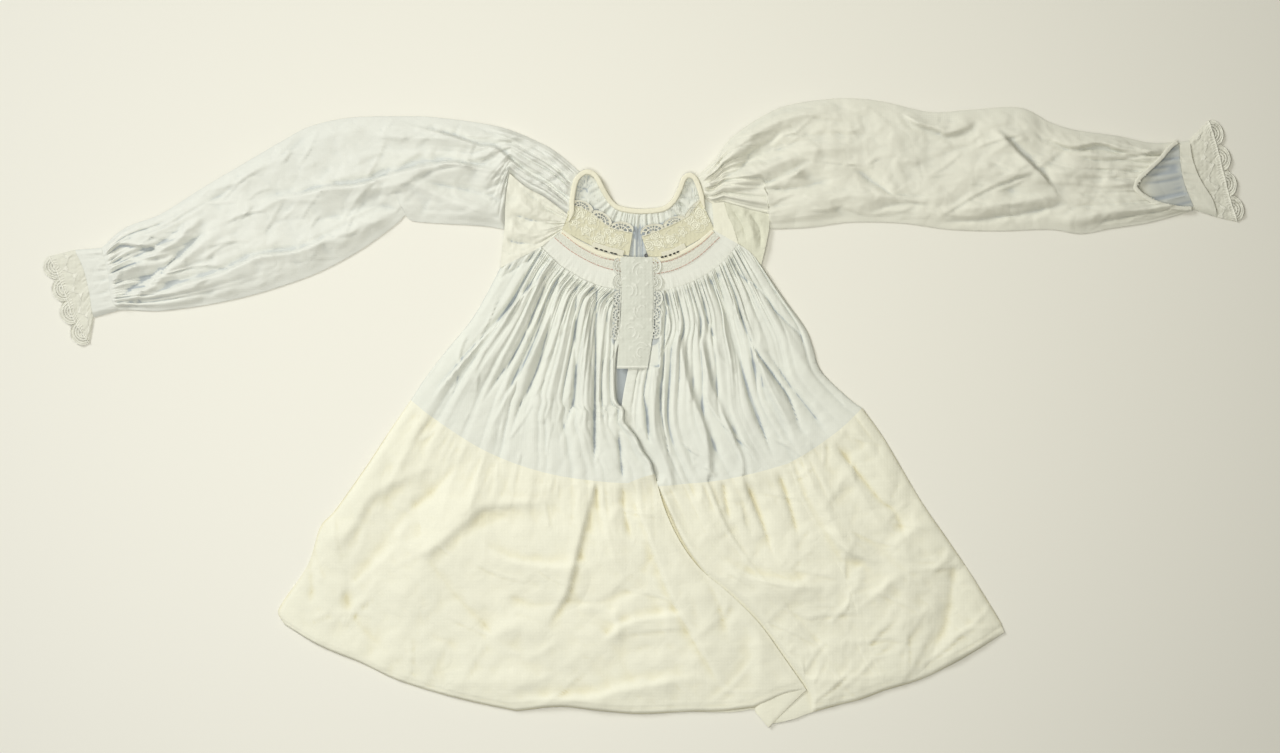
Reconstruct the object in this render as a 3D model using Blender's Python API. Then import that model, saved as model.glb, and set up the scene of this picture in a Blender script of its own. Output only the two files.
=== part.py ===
"""Womens folk shirt laid flat: gathered yoke, lace neck, full sleeves with lace cuffs.

Plan view: +X to the right cuff, +Y towards the sleeves, +Z away from the surface it lies on.
Every outline below is in millimetres and is turned into metres when the mesh is made.
"""

import bmesh
import bpy
import numpy as np
from mathutils import Vector

MM = 0.001

# Cloth walls and the spaces between neighbouring pieces, in millimetres.
WALL = 1.6
THIN_WALL = 1.2
TRIM_WALL = 0.9
SEAM_GAP = 0.18
TUBE_GAP = 0.4
LIFT = 0.4
BACK_THICKNESS = 1.6

# Top heights of the flat zones of the front, in millimetres above the surface.
EDGE_TOP = 3.6
BODY_TOP = 6.2
YOKE_TOP = 5.6
YOKE_TRIM_BASE = 6.0
LACE_TOP = 5.4
TAB_BASE = 7.2
JABOT_BASE = 7.5
BINDING_WIDTH = 7.0

# Outlines shared by neighbouring pieces, each listed from left to right or from top to bottom.
SIDE_LEFT_UPPER = [(-199, 203), (-222, 159), (-241, 128), (-276, 85), (-303, 50), (-324, 18)]
SIDE_LEFT_LOWER = [(-324, 18), (-353, -24), (-388, -77), (-430, -136), (-451, -160), (-468, -212), (-502, -262)]
CORNER_LEFT = [(-502, -262), (-510, -279), (-500, -297)]
SIDE_RIGHT_UPPER = [(166, 207), (185, 179), (201, 156), (228, 118), (238, 92), (250, 58), (290, 19), (307, 7)]
SIDE_RIGHT_LOWER = [(307, 7), (339, -38), (388, -121), (423, -172), (451, -213), (479, -257), (501, -293)]
CORNER_RIGHT = [(501, -293), (506, -307)]
SEAM_LEFT = [(-324, 18), (-288, -10), (-227, -49), (-171, -73), (-115, -88), (-55, -96), (-20, -95)]
SEAM_FLAP = [(-20, -95), (0, -92), (20, -92)]
SEAM_MIDDLE = [(20, -92), (60, -100), (108, -94), (164, -82), (205, -70)]
SEAM_RIGHT = [(205, -70), (240, -49), (278, -21), (307, 7)]
PANEL_SEAM = [(205, -70), (222, -122), (250, -172), (286, -238), (307, -304), (339, -388)]
HEM_LEFT = [(-500, -297), (-451, -326), (-395, -349), (-339, -375), (-255, -400), (-176, -417)]
HEM_MIDDLE = [(-176, -417), (-115, -411), (-59, -417), (-3, -421), (60, -418), (120, -419), (157, -414)]
HEM_TIP = [(157, -414), (176, -440), (206, -420), (218, -408)]
HEM_PANEL = [(218, -408), (262, -411), (304, -401), (339, -388)]
HEM_GORE = [(339, -388), (388, -373), (430, -353), (472, -329), (506, -307)]
FLAP_EDGE = [(20, -92), (26, -115), (40, -148), (66, -199), (108, -241), (145, -268), (192, -325), (218, -408)]
GATHER_LEFT = [(-142, 232), (-115, 206), (-94, 193), (-73, 182), (-45, 174), (-10, 170)]
GATHER_RIGHT = [(-4, 170), (27, 171), (52, 177), (73, 185), (94, 197), (115, 214), (134, 236)]
SHOULDER_FOOT_LEFT = [(-199, 203), (-142, 232)]
GUSSET_FOOT_RIGHT = [(134, 236), (150, 225), (166, 207)]
SLIT_LEFT = [(-10, 170), (-30, 150), (-37, 95), (-37, 18), (-24, -3), (-16, -24), (-3, -38)]
SLIT_RIGHT = [(-4, 170), (14, 150), (17, 102), (8, 60), (-1, 25), (3, -3), (3, -20), (-3, -38)]
SLIT_FOOT = [(-3, -38), (0, -92)]
YOKE_INNER_LEFT = [(-113, 255), (-87, 241), (-59, 228), (-31, 220), (-10, 218)]
YOKE_INNER_RIGHT = [(-4, 218), (31, 219), (52, 227), (73, 238), (99, 256)]
RED_UPPER_LEFT = [(-113, 252), (-87, 232), (-59, 218), (-31, 212), (-10, 210)]
RED_LOWER_LEFT = [(-123, 245), (-101, 227), (-73, 211), (-45, 201), (-10, 195)]
RED_UPPER_RIGHT = [(-4, 210), (29, 211), (52, 218), (80, 235), (99, 253)]
RED_LOWER_RIGHT = [(-4, 195), (22, 195), (52, 203), (80, 220), (108, 246)]
NECK_LEFT = [(-87, 337), (-96, 325), (-99, 309), (-101, 293), (-104, 277)]
NECK_RIGHT = [(76, 331), (82, 319), (85, 302)]
SHOULDER_LEFT_TOP = [(-104, 277), (-136, 301), (-162, 315), (-186, 335)]
SHOULDER_LEFT_SIDE = [(-186, 335), (-191, 300), (-193, 257)]
ARMPIT_LEFT = [(-193, 257), (-196, 230), (-199, 203)]
SHOULDER_RIGHT_TOP = [(85, 302), (97, 293), (114, 295)]
GUSSET_RIGHT_TOP = [(114, 295), (148, 285), (178, 278)]
GUSSET_RIGHT_SIDE = [(178, 278), (177, 257)]
ARMPIT_RIGHT = [(177, 257), (172, 232), (166, 207)]
GUSSET_INNER_RIGHT = [(114, 295), (119, 277), (127, 259), (134, 236)]
BACK_NECK = [
    (-87, 337), (-80, 338), (-73, 336), (-63, 328), (-55, 312), (-45, 296), (-32, 286), (-3, 281),
    (28, 284), (43, 296), (52, 312), (57, 326), (64, 333), (71, 334), (76, 331),
]
BINDING_PATH = [(-99, 279), (-98, 300), (-93, 324), (-83, 335), (-73, 336), (-64, 329), (-55, 312), (-44, 295),
    (-31, 286), (-3, 282), (28, 285), (43, 296), (52, 312), (58, 327), (65, 332), (73, 328), (80, 312), (84, 296)]
LACE_TOP_LEFT = [(-96, 291), (-73, 280), (-45, 259), (-17, 252)]
LACE_TOP_RIGHT = [(-1, 246), (24, 255), (52, 268), (66, 277), (79, 297)]
JABOT_LEFT = [(-30, 218), (-29, 186), (-30, 144), (-33, 102), (-36, 62)]
JABOT_RIGHT = [(13, 218), (15, 172), (14, 130), (13, 102), (7, 62)]
JABOT_EDGE_LEFT = [(-30, 217), (-29, 186), (-31, 144), (-33, 102)]
JABOT_EDGE_RIGHT = [(13, 217), (15.5, 172), (14.5, 130), (13.2, 104)]
LACE_FOOT_LEFT = [(-107, 256), (-87, 242), (-59, 229), (-24, 220)]
LACE_FOOT_RIGHT = [(8, 218.5), (31, 219.5), (52, 228), (73, 239), (96, 255)]

# Sleeve outlines, from the neck or the armpit out to the cuff.
SLEEVE_LEFT_TOP = [(-87, 337), (-115, 361), (-143, 378), (-199, 400), (-283, 413), (-339, 415), (-410, 413),
    (-465, 401), (-507, 379), (-563, 346), (-619, 313), (-675, 278), (-724, 259), (-757, 231)]
SLEEVE_LEFT_FOOT = [(-193, 257), (-227, 262), (-318, 268), (-331, 277), (-345, 264), (-395, 228), (-451, 198),
    (-507, 177), (-563, 161), (-619, 150), (-675, 143), (-712, 144), (-732, 144)]
CUFF_LEFT_GATHER = [(-757, 231), (-747, 195), (-743, 160), (-732, 144)]
CUFF_LEFT_SEAM = [(-794, 228), (-782, 203), (-774, 172), (-770, 142)]
LACE_LEFT_TIPS = [(-834, 217), (-845, 203), (-832, 169), (-821, 133), (-805, 108), (-773, 95)]
SLEEVE_RIGHT_TOP = [(76, 331), (101, 355), (122, 383), (164, 413), (206, 431), (276, 440), (333, 436), (402, 421),
    (458, 424), (528, 427), (570, 407), (605, 396), (668, 387), (710, 378), (751, 379)]
SLEEVE_RIGHT_FOOT = [(177, 257), (234, 260), (290, 267), (360, 266), (430, 257), (500, 255), (570, 257),
    (612, 251), (654, 258), (710, 267), (773, 284)]
CUFF_RIGHT_GATHER = [(751, 379), (752, 350), (758, 320), (773, 284)]
CUFF_RIGHT_SEAM = [(765, 381), (769, 354), (780, 326), (797, 298), (804, 274)]
LACE_RIGHT_TIPS = [(788, 406), (820, 390), (829, 358), (838, 325), (845, 287), (831, 270)]
SLEEVE_SLIT = [(753, 377), (738, 371), (724, 354), (710, 340), (699, 329), (691, 316), (703, 305), (724, 294),
    (752, 289), (768, 288)]

# Folds: (path, half width, height). A negative height is a trough.
FOLDS_FRONT_LEFT = [
    ([(-136, 217), (-171, 158), (-220, 105), (-262, 57), (-295, 10)], 9, -3.2),
    ([(-133, 207), (-165, 140), (-205, 86), (-250, 35), (-272, 0)], 12, 4.2),
    ([(-136, 162), (-171, 95), (-199, 53), (-230, 4)], 8, -2.4),
    ([(-110, 190), (-140, 110), (-170, 50), (-205, -30)], 11, 3.8),
    ([(-92, 158), (-94, 88), (-101, 4), (-122, -52)], 8, -2.4),
    ([(-80, 170), (-82, 80), (-84, 0), (-90, -60)], 9, 4.4),
    ([(-62, 158), (-62, 88), (-66, 32), (-66, -94)], 7, -3.0),
    ([(-50, 150), (-50, 80), (-48, 10), (-46, -70)], 8, 2.2),
]
FOLDS_FRONT_RIGHT = [
    ([(36, 172), (34, 110), (28, 40), (34, -31), (40, -92)], 7, -2.6),
    ([(50, 160), (50, 90), (46, 20), (58, -60)], 9, 2.4),
    ([(75, 150), (78, 95), (84, 20), (90, -60)], 9, -2.0),
    ([(84, 175), (100, 100), (112, 20), (118, -60)], 11, 4.2),
    ([(97, 186), (129, 116), (157, 60), (185, 18), (213, -59)], 9, -3.4),
    ([(118, 180), (150, 122), (184, 66), (212, 10), (240, -40)], 12, 4.6),
    ([(136, 193), (185, 144), (220, 109), (240, 70)], 9, -2.6),
    ([(97, 46), (115, -3), (139, -80)], 8, -2.2),
]
FOLDS_SKIRT = [
    ([(-66, -94), (-76, -136), (-104, -234), (-142, -307)], 12, -3.4),
    ([(-90, -100), (-110, -170), (-136, -250), (-170, -330)], 20, 3.6),
    ([(-276, -66), (-339, -91), (-402, -150), (-444, -189)], 16, 3.0),
    ([(-101, -124), (-213, -127), (-269, -167), (-335, -187)], 15, 3.4),
    ([(-304, -199), (-255, -262), (-199, -318), (-171, -339)], 15, -2.2),
    ([(-283, -378), (-199, -374), (-115, -367)], 14, 2.4),
    ([(-60, -398), (-31, -388), (52, -374), (80, -371)], 14, 2.6),
    ([(-116, -262), (-59, -265), (-31, -304), (60, -290)], 15, 2.0),
    ([(-200, -80), (-250, -120), (-330, -240), (-380, -320)], 22, 2.2),
    ([(80, -110), (120, -180), (180, -240), (248, -260)], 15, 2.4),
    ([(143, -94), (164, -164), (185, -222)], 12, 2.6),
    ([(185, -80), (206, -136), (240, -200), (280, -290)], 12, -2.0),
]
FOLDS_GORE = [
    ([(240, -60), (280, -110), (332, -160), (353, -200)], 14, 3.0),
    ([(261, -35), (304, -87), (340, -130), (370, -175)], 13, -2.2),
    ([(318, -262), (350, -236), (390, -222)], 14, 2.4),
    ([(436, -200), (430, -262), (415, -315), (395, -346)], 13, 2.6),
]
FOLDS_SLEEVE_LEFT = [
    ([(-100, 300), (-150, 345), (-220, 372), (-320, 388), (-390, 392)], 9, 3.6),
    ([(-105, 325), (-150, 360), (-215, 393), (-285, 404), (-350, 408)], 8, 3.0),
    ([(-192, 350), (-240, 347), (-300, 346), (-395, 320), (-480, 304), (-560, 290)], 13, 5.6),
    ([(-215, 325), (-290, 330), (-395, 300), (-500, 280), (-580, 268)], 10, -3.4),
    ([(-200, 272), (-270, 298), (-323, 318), (-416, 304), (-480, 270)], 12, 4.2),
    ([(-731, 152), (-647, 178), (-600, 190), (-535, 217), (-437, 240)], 12, 5.2),
    ([(-740, 165), (-690, 178), (-655, 211), (-600, 260), (-540, 300)], 10, 4.4),
    ([(-745, 190), (-700, 210), (-640, 260), (-590, 300)], 9, -3.2),
    ([(-750, 215), (-700, 235), (-655, 262), (-600, 306)], 9, 4.2),
    ([(-440, 380), (-490, 365), (-540, 340), (-600, 300)], 12, 3.6),
    ([(-420, 250), (-500, 235), (-560, 240), (-620, 230)], 12, 2.8),
    ([(-345, 280), (-400, 260), (-450, 230), (-520, 200)], 12, -2.4),
]
FOLDS_SLEEVE_RIGHT = [
    ([(84, 310), (108, 330), (150, 360), (181, 384), (215, 408)], 9, -3.6),
    ([(90, 330), (120, 360), (160, 392), (220, 418), (300, 428)], 10, 4.4),
    ([(105, 305), (150, 322), (200, 338), (250, 350), (330, 360)], 12, 4.6),
    ([(150, 300), (206, 312), (283, 326), (330, 345)], 9, -2.6),
    ([(180, 285), (240, 292), (300, 300), (380, 300), (460, 305)], 14, 4.2),
    ([(304, 338), (339, 314), (416, 303), (480, 306)], 10, -3.2),
    ([(330, 405), (400, 398), (470, 405), (540, 410)], 14, 3.8),
    ([(486, 402), (514, 371), (542, 343), (573, 312)], 10, 4.6),
    ([(416, 270), (472, 272), (540, 284), (610, 295)], 9, -3.0),
    ([(430, 345), (520, 330), (610, 330), (690, 345)], 15, 4.4),
    ([(560, 372), (620, 366), (680, 364), (740, 372)], 11, 4.4),
    ([(600, 275), (660, 284), (720, 282), (765, 288)], 9, 3.8),
    ([(560, 385), (640, 377), (700, 370), (745, 375)], 7, -2.6),
]

COLOURS = {
    "white_cotton": (0.74, 0.78, 0.79),
    "cream_cotton": (0.84, 0.80, 0.64),
    "cream_binding": (0.83, 0.77, 0.58),
    "net_lace": (0.68, 0.63, 0.42),
    "grey_lace": (0.60, 0.60, 0.50),
    "white_lace": (0.66, 0.69, 0.66),
    "eyelet_edging": (0.76, 0.74, 0.62),
    "openwork": (0.72, 0.71, 0.62),
    "cuff_lace": (0.66, 0.64, 0.42),
    "dark_metal": (0.05, 0.05, 0.06),
}


def clear_scene():
    """Remove whatever the scene holds."""
    for obj in list(bpy.data.objects):
        bpy.data.objects.remove(obj, do_unlink=True)


def material(slot):
    """The plain Principled material of one slot, made once."""
    found = bpy.data.materials.get(slot)
    if found:
        return found
    made = bpy.data.materials.new(slot)
    made.use_nodes = True
    shader = made.node_tree.nodes["Principled BSDF"]
    shader.inputs["Base Color"].default_value = (*COLOURS[slot], 1.0)
    shader.inputs["Roughness"].default_value = 0.85
    return made


def smooth_path(points, pieces):
    """A Catmull-Rom curve through the points, cut into equal lengths; its ends stay exact."""
    pts = np.array(points, float)
    if len(pts) == 2:
        steps = np.linspace(0.0, 1.0, pieces + 1)[:, None]
        return pts[0] * (1 - steps) + pts[1] * steps
    ends = np.vstack([2 * pts[0] - pts[1], pts, 2 * pts[-1] - pts[-2]])
    fine = []
    for i in range(1, len(ends) - 2):
        p0, p1, p2, p3 = ends[i - 1:i + 3]
        for t in np.linspace(0.0, 1.0, 16, endpoint=False):
            fine.append(0.5 * (2 * p1 + (p2 - p0) * t + (2 * p0 - 5 * p1 + 4 * p2 - p3) * t * t
                               + (3 * p1 - p0 - 3 * p2 + p3) * t ** 3))
    fine.append(pts[-1])
    fine = np.array(fine)
    run = np.concatenate([[0.0], np.cumsum(np.linalg.norm(np.diff(fine, axis=0), axis=1))])
    at = np.linspace(0.0, run[-1], pieces + 1)
    return np.column_stack([np.interp(at, run, fine[:, 0]), np.interp(at, run, fine[:, 1])])


def join(*paths):
    """One boundary made of several paths, each given as (points, pieces), with corners kept."""
    parts = [smooth_path(points, pieces) for points, pieces in paths]
    return np.vstack([parts[0]] + [part[1:] for part in parts[1:]])


def halved(points):
    """The same broken line with a point added at the middle of each part."""
    out = np.empty((2 * len(points) - 1, 2))
    out[::2] = points
    out[1::2] = (points[1:] + points[:-1]) / 2
    return out


def coons(top, foot, left, right):
    """The plan grid spanned by four boundaries: rows run from top to foot, columns from left to right."""
    rows = len(left)
    cols = len(top)
    s = np.linspace(0.0, 1.0, cols)[None, :, None]
    t = np.linspace(0.0, 1.0, rows)[:, None, None]
    across = (1 - t) * top[None] + t * foot[None]
    down = (1 - s) * left[:, None] + s * right[:, None]
    corners = ((1 - s) * (1 - t) * top[0] + s * (1 - t) * top[-1] + (1 - s) * t * foot[0] + s * t * foot[-1])
    return across + down - corners


def draw_in(grid, gap=SEAM_GAP):
    """Move the rim of a plan grid inwards, so that neighbours stay apart."""
    out = grid.copy()

    def pull(rim, inner):
        step = inner - rim
        return rim + step / np.linalg.norm(step, axis=1)[:, None] * gap

    out[0] = pull(grid[0], grid[1])
    out[-1] = pull(grid[-1], grid[-2])
    out[:, 0] = pull(out[:, 0], out[:, 1])
    out[:, -1] = pull(out[:, -1], out[:, -2])
    return out


def near_path(points, path):
    """Distance of each plan point to a polyline, and how far along it the nearest place is, 0 to 1."""
    line = smooth_path(path, 24)
    start = line[:-1]
    step = line[1:] - start
    rel = points[..., None, :] - start
    t = np.clip((rel * step).sum(-1) / (step * step).sum(-1), 0.0, 1.0)
    gap = np.linalg.norm(rel - t[..., None] * step, axis=-1)
    best = gap.argmin(-1)
    along = (best + np.take_along_axis(t, best[..., None], -1)[..., 0]) / len(step)
    return gap.min(-1), along


def fold_height(points, folds):
    """Sum of the soft ridges and troughs at each plan point."""
    total = np.zeros(points.shape[:-1])
    for path, width, height in folds:
        gap, along = near_path(points, path)
        fade = np.clip(np.minimum(along, 1 - along) / 0.18, 0.0, 1.0)
        fade = fade * fade * (3 - 2 * fade)
        total += height * (0.25 + 0.75 * fade) * np.exp(-(gap / width) ** 2)
    return total


def rim_rise(grid, left=1.0, right=1.0, top=1.0, foot=1.0, reach=24.0):
    """0 on the rims named, rising to 1 at the reach inside; 0 for a side means that side stays up."""
    length = np.linalg.norm
    across = np.concatenate([[0.0], np.cumsum(length(np.diff(grid.mean(0), axis=0), axis=1))])
    down = np.concatenate([[0.0], np.cumsum(length(np.diff(grid.mean(1), axis=0), axis=1))])
    rise = np.ones(grid.shape[:2])
    for use, run in ((left, across), (right, across[-1] - across)):
        if use:
            rise = np.minimum(rise, np.clip(run / reach, 0, 1)[None, :])
    for use, run in ((top, down), (foot, down[-1] - down)):
        if use:
            rise = np.minimum(rise, np.clip(run / reach, 0, 1)[:, None])
    return np.sqrt(rise * (2 - rise))


def finish(name, slot, bm):
    """Turn a bmesh into the named object with its material."""
    bmesh.ops.recalc_face_normals(bm, faces=bm.faces[:])
    bmesh.ops.triangulate(bm, faces=bm.faces[:])
    mesh = bpy.data.meshes.new(name)
    bm.to_mesh(mesh)
    bm.free()
    mesh.materials.append(material(slot))
    obj = bpy.data.objects.new(name, mesh)
    bpy.context.scene.collection.objects.link(obj)
    return obj


def sheet(name, slot, grid, tops, wall=WALL):
    """A closed cloth wall: the grid of top points, its faces pushed down by the wall."""
    bm = bmesh.new()
    rows, cols = grid.shape[:2]
    verts = [[bm.verts.new((*(grid[r, c] * MM), tops[r, c] * MM)) for c in range(cols)] for r in range(rows)]
    for r in range(rows - 1):
        for c in range(cols - 1):
            bm.faces.new((verts[r][c], verts[r + 1][c], verts[r + 1][c + 1], verts[r][c + 1]))
    made = bmesh.ops.extrude_face_region(bm, geom=bm.faces[:])
    low = [item for item in made["geom"] if isinstance(item, bmesh.types.BMVert)]
    bmesh.ops.translate(bm, verts=low, vec=Vector((0, 0, -wall * MM)))
    return finish(name, slot, bm)


def plate(name, slot, outline, thickness):
    """A flat panel on the surface: one outline pushed up by its thickness."""
    bm = bmesh.new()
    face = bm.faces.new([bm.verts.new((x * MM, y * MM, 0.0)) for x, y in outline])
    made = bmesh.ops.extrude_face_region(bm, geom=[face])
    high = [item for item in made["geom"] if isinstance(item, bmesh.types.BMVert)]
    bmesh.ops.translate(bm, verts=high, vec=Vector((0, 0, thickness * MM)))
    return finish(name, slot, bm)


def inset_outline(points, gap=SEAM_GAP):
    """A closed outline moved inwards by the gap, corner by corner."""
    pts = np.array(points)
    area = 0.5 * np.sum(pts[:, 0] * np.roll(pts[:, 1], -1) - np.roll(pts[:, 0], -1) * pts[:, 1])
    ahead = np.roll(pts, -1, 0) - pts
    ahead /= np.linalg.norm(ahead, axis=1)[:, None]
    behind = np.roll(ahead, 1, 0)
    side = np.sign(area)
    normals = side * np.column_stack([-ahead[:, 1], ahead[:, 0]])
    before = side * np.column_stack([-behind[:, 1], behind[:, 0]])
    both = normals + before
    both /= np.maximum((both * both).sum(1), 0.5)[:, None] / 2
    return pts + both * gap


def tube(name, slot, grid, tops, wall=WALL):
    """A flattened open-ended tube: rings of a raised top layer and a flat bottom layer, with a wall all round."""
    rows, cols = grid.shape[:2]
    bottom = np.linspace(rows - 1, 0, 5).round().astype(int)[1:-1]
    width = np.linalg.norm(grid[0] - grid[-1], axis=1)
    bm = bmesh.new()
    outer = []
    inner = []
    for c in range(cols):
        share = wall / width[c]
        first = grid[0, c] + (grid[-1, c] - grid[0, c]) * share
        last = grid[-1, c] + (grid[0, c] - grid[-1, c]) * share
        plan = [grid[r, c] for r in range(rows)]
        inside = [first] + plan[1:-1] + [last]
        ring = [(*p, tops[r, c]) for r, p in enumerate(plan)]
        ring += [(*plan[-1], 0.0)] + [(*plan[r], 0.0) for r in bottom] + [(*plan[0], 0.0)]
        core = [(*p, tops[r, c] - wall) for r, p in enumerate(inside)]
        core += [(*inside[-1], wall)] + [(*plan[r], wall) for r in bottom] + [(*inside[0], wall)]
        outer.append([bm.verts.new(Vector(p) * MM) for p in ring])
        inner.append([bm.verts.new(Vector(p) * MM) for p in core])
    count = len(outer[0])
    for c in range(cols - 1):
        for k in range(count):
            m = (k + 1) % count
            bm.faces.new((outer[c][k], outer[c][m], outer[c + 1][m], outer[c + 1][k]))
            bm.faces.new((inner[c][k], inner[c + 1][k], inner[c + 1][m], inner[c][m]))
    for c in (0, cols - 1):
        for k in range(count):
            m = (k + 1) % count
            bm.faces.new((outer[c][k], inner[c][k], inner[c][m], outer[c][m]))
    return finish(name, slot, bm)


def band(name, slot, path, width, low, high):
    """A narrow strip of even width along a path, between two heights that may vary along it."""
    line = np.array(path)
    ahead = np.gradient(line, axis=0)
    ahead /= np.linalg.norm(ahead, axis=1)[:, None]
    side = np.column_stack([-ahead[:, 1], ahead[:, 0]]) * width / 2
    low = np.broadcast_to(low, len(line))
    high = np.broadcast_to(high, len(line))
    bm = bmesh.new()
    rings = []
    for p, s, z0, z1 in zip(line, side, low, high):
        corners = ((*(p - s), z0), (*(p + s), z0), (*(p + s), z1), (*(p - s), z1))
        rings.append([bm.verts.new(Vector(q) * MM) for q in corners])
    for a, b in zip(rings, rings[1:]):
        for k in range(4):
            bm.faces.new((a[k], a[(k + 1) % 4], b[(k + 1) % 4], b[k]))
    bm.faces.new(rings[0])
    bm.faces.new(rings[-1])
    return finish(name, slot, bm)


def flat_tops(grid, height):
    return np.full(grid.shape[:2], float(height))


def gathers(cols, rows, count, height, reach):
    """Small pleats that start full height on the first row and die away down the rows."""
    phase = np.cos(np.linspace(0.0, 2 * np.pi * count, cols))[None, :]
    fade = np.clip(1 - np.linspace(0.0, 1.0, rows) / reach, 0.0, 1.0)[:, None]
    return height * phase * fade


def body_back():
    neck = smooth_path(BACK_NECK, 36)
    seam = join((SEAM_LEFT, 14), (SEAM_FLAP, 2), (SEAM_MIDDLE, 8), (SEAM_RIGHT, 6))
    left = smooth_path(SIDE_LEFT_UPPER, 8)
    right = smooth_path(SIDE_RIGHT_UPPER, 8)
    upper = np.vstack([
        neck, smooth_path(NECK_RIGHT, 4)[1:],
        join((SHOULDER_RIGHT_TOP, 2), (GUSSET_RIGHT_TOP, 2), (GUSSET_RIGHT_SIDE, 1), (ARMPIT_RIGHT, 2))[1:],
        right[1:], seam[::-1][1:], left[::-1][1:],
        join((NECK_LEFT, 4), (SHOULDER_LEFT_TOP, 4), (SHOULDER_LEFT_SIDE, 3), (ARMPIT_LEFT, 2))[::-1][1:-1],
    ])
    plate("back_upper", "white_cotton", inset_outline(upper), BACK_THICKNESS)
    hem = join((HEM_LEFT, 10), (HEM_MIDDLE, 8), ([(157, -414), (218, -408)], 1), (HEM_PANEL, 4), (HEM_GORE, 6))
    lower = np.vstack([
        seam, join((SIDE_RIGHT_LOWER, 10), (CORNER_RIGHT, 1))[1:], hem[::-1][1:],
        join((SIDE_LEFT_LOWER, 10), (CORNER_LEFT, 2))[::-1][1:-1],
    ])
    plate("back_lower", "cream_cotton", inset_outline(lower), BACK_THICKNESS)


def front_tops(grid, folds, pleats=0, **rims):
    """Heights of a front panel: low where it meets a free edge, higher inside, with its folds."""
    rise = rim_rise(grid, **rims)
    tops = EDGE_TOP + (BODY_TOP - EDGE_TOP) * rise
    tops = tops + fold_height(grid, folds) * np.clip(rise + 0.25, 0, 1)
    if pleats:
        tops = tops + gathers(grid.shape[1], grid.shape[0], pleats, 1.1, 0.55)
    return np.maximum(tops, EDGE_TOP)


def under_jabot(grid, tops):
    """Keep the panel below the jabot that hangs over it."""
    x, y = grid[..., 0], grid[..., 1]
    shade = (x > -54) & (x < 38) & (y > 56)
    return np.where(shade, np.minimum(tops, JABOT_BASE - LIFT - 0.2), tops)


def body_front():
    rows = 9
    grid = draw_in(coons(join((SHOULDER_FOOT_LEFT, 4), (GATHER_LEFT, 16)),
                         join((SEAM_LEFT, 18), ([(-20, -95), (0, -92)], 2)),
                         smooth_path(SIDE_LEFT_UPPER, rows), join((SLIT_LEFT, 7), (SLIT_FOOT, 2))))
    tops = front_tops(grid, FOLDS_FRONT_LEFT, 9, top=0, foot=0, right=0)
    sheet("front_upper_left", "white_cotton", grid, under_jabot(grid, tops))
    grid = draw_in(coons(join((GATHER_RIGHT, 16), (GUSSET_FOOT_RIGHT, 4)),
                         join(([(0, -92), (20, -92)], 2), (SEAM_MIDDLE, 11), (SEAM_RIGHT, 7)),
                         join((SLIT_RIGHT, 7), (SLIT_FOOT, 2)), smooth_path(SIDE_RIGHT_UPPER, rows)))
    tops = front_tops(grid, FOLDS_FRONT_RIGHT, 9, top=0, foot=0, left=0)
    sheet("front_upper_right", "white_cotton", grid, under_jabot(grid, tops))
    skirt()


def skirt():
    rows = 12
    edge = smooth_path(FLAP_EDGE, rows)
    left_side = join((SIDE_LEFT_LOWER, rows - 2), (CORNER_LEFT, 2))
    first = coons(join((SEAM_LEFT, 18), (SEAM_FLAP, 4)),
                  join((HEM_LEFT, 10), (HEM_MIDDLE, 9), (HEM_TIP, 3)), left_side, edge)
    step = np.linspace(0.5, 4.0, rows + 1)[:, None] * np.array([1.0, -0.35])
    beyond = edge + step
    beyond[-1] = (222.0, -408.5)
    middle = join((SEAM_MIDDLE, 11))
    middle[0] = beyond[0]
    hem = join((HEM_PANEL, 11))
    hem[0] = beyond[-1]
    second = coons(middle, hem, beyond, smooth_path(PANEL_SEAM, rows))
    grid = np.concatenate([first, second], axis=1)
    tops = front_tops(grid, FOLDS_SKIRT, top=0, right=0, reach=30.0)
    gap, along = near_path(grid, FLAP_EDGE)
    cols = first.shape[1]
    inside = np.arange(grid.shape[1])[None, :] < cols
    grown = np.clip(along / 0.25, 0, 1)
    tops = tops + np.where(inside, 6.5 * grown * np.exp(-(gap / 58.0) ** 2), 0.0)
    tops[-1] = np.maximum(np.minimum(tops[-1], 8.0), EDGE_TOP)
    sheet("front_lower_centre", "cream_cotton", draw_in(grid), tops)
    grid = draw_in(coons(smooth_path(SEAM_RIGHT, 7), smooth_path(HEM_GORE, 7), smooth_path(PANEL_SEAM, rows),
                         join((SIDE_RIGHT_LOWER, rows - 1), (CORNER_RIGHT, 1))))
    sheet("front_lower_side", "cream_cotton", grid, front_tops(grid, FOLDS_GORE, top=0, left=0))


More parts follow.
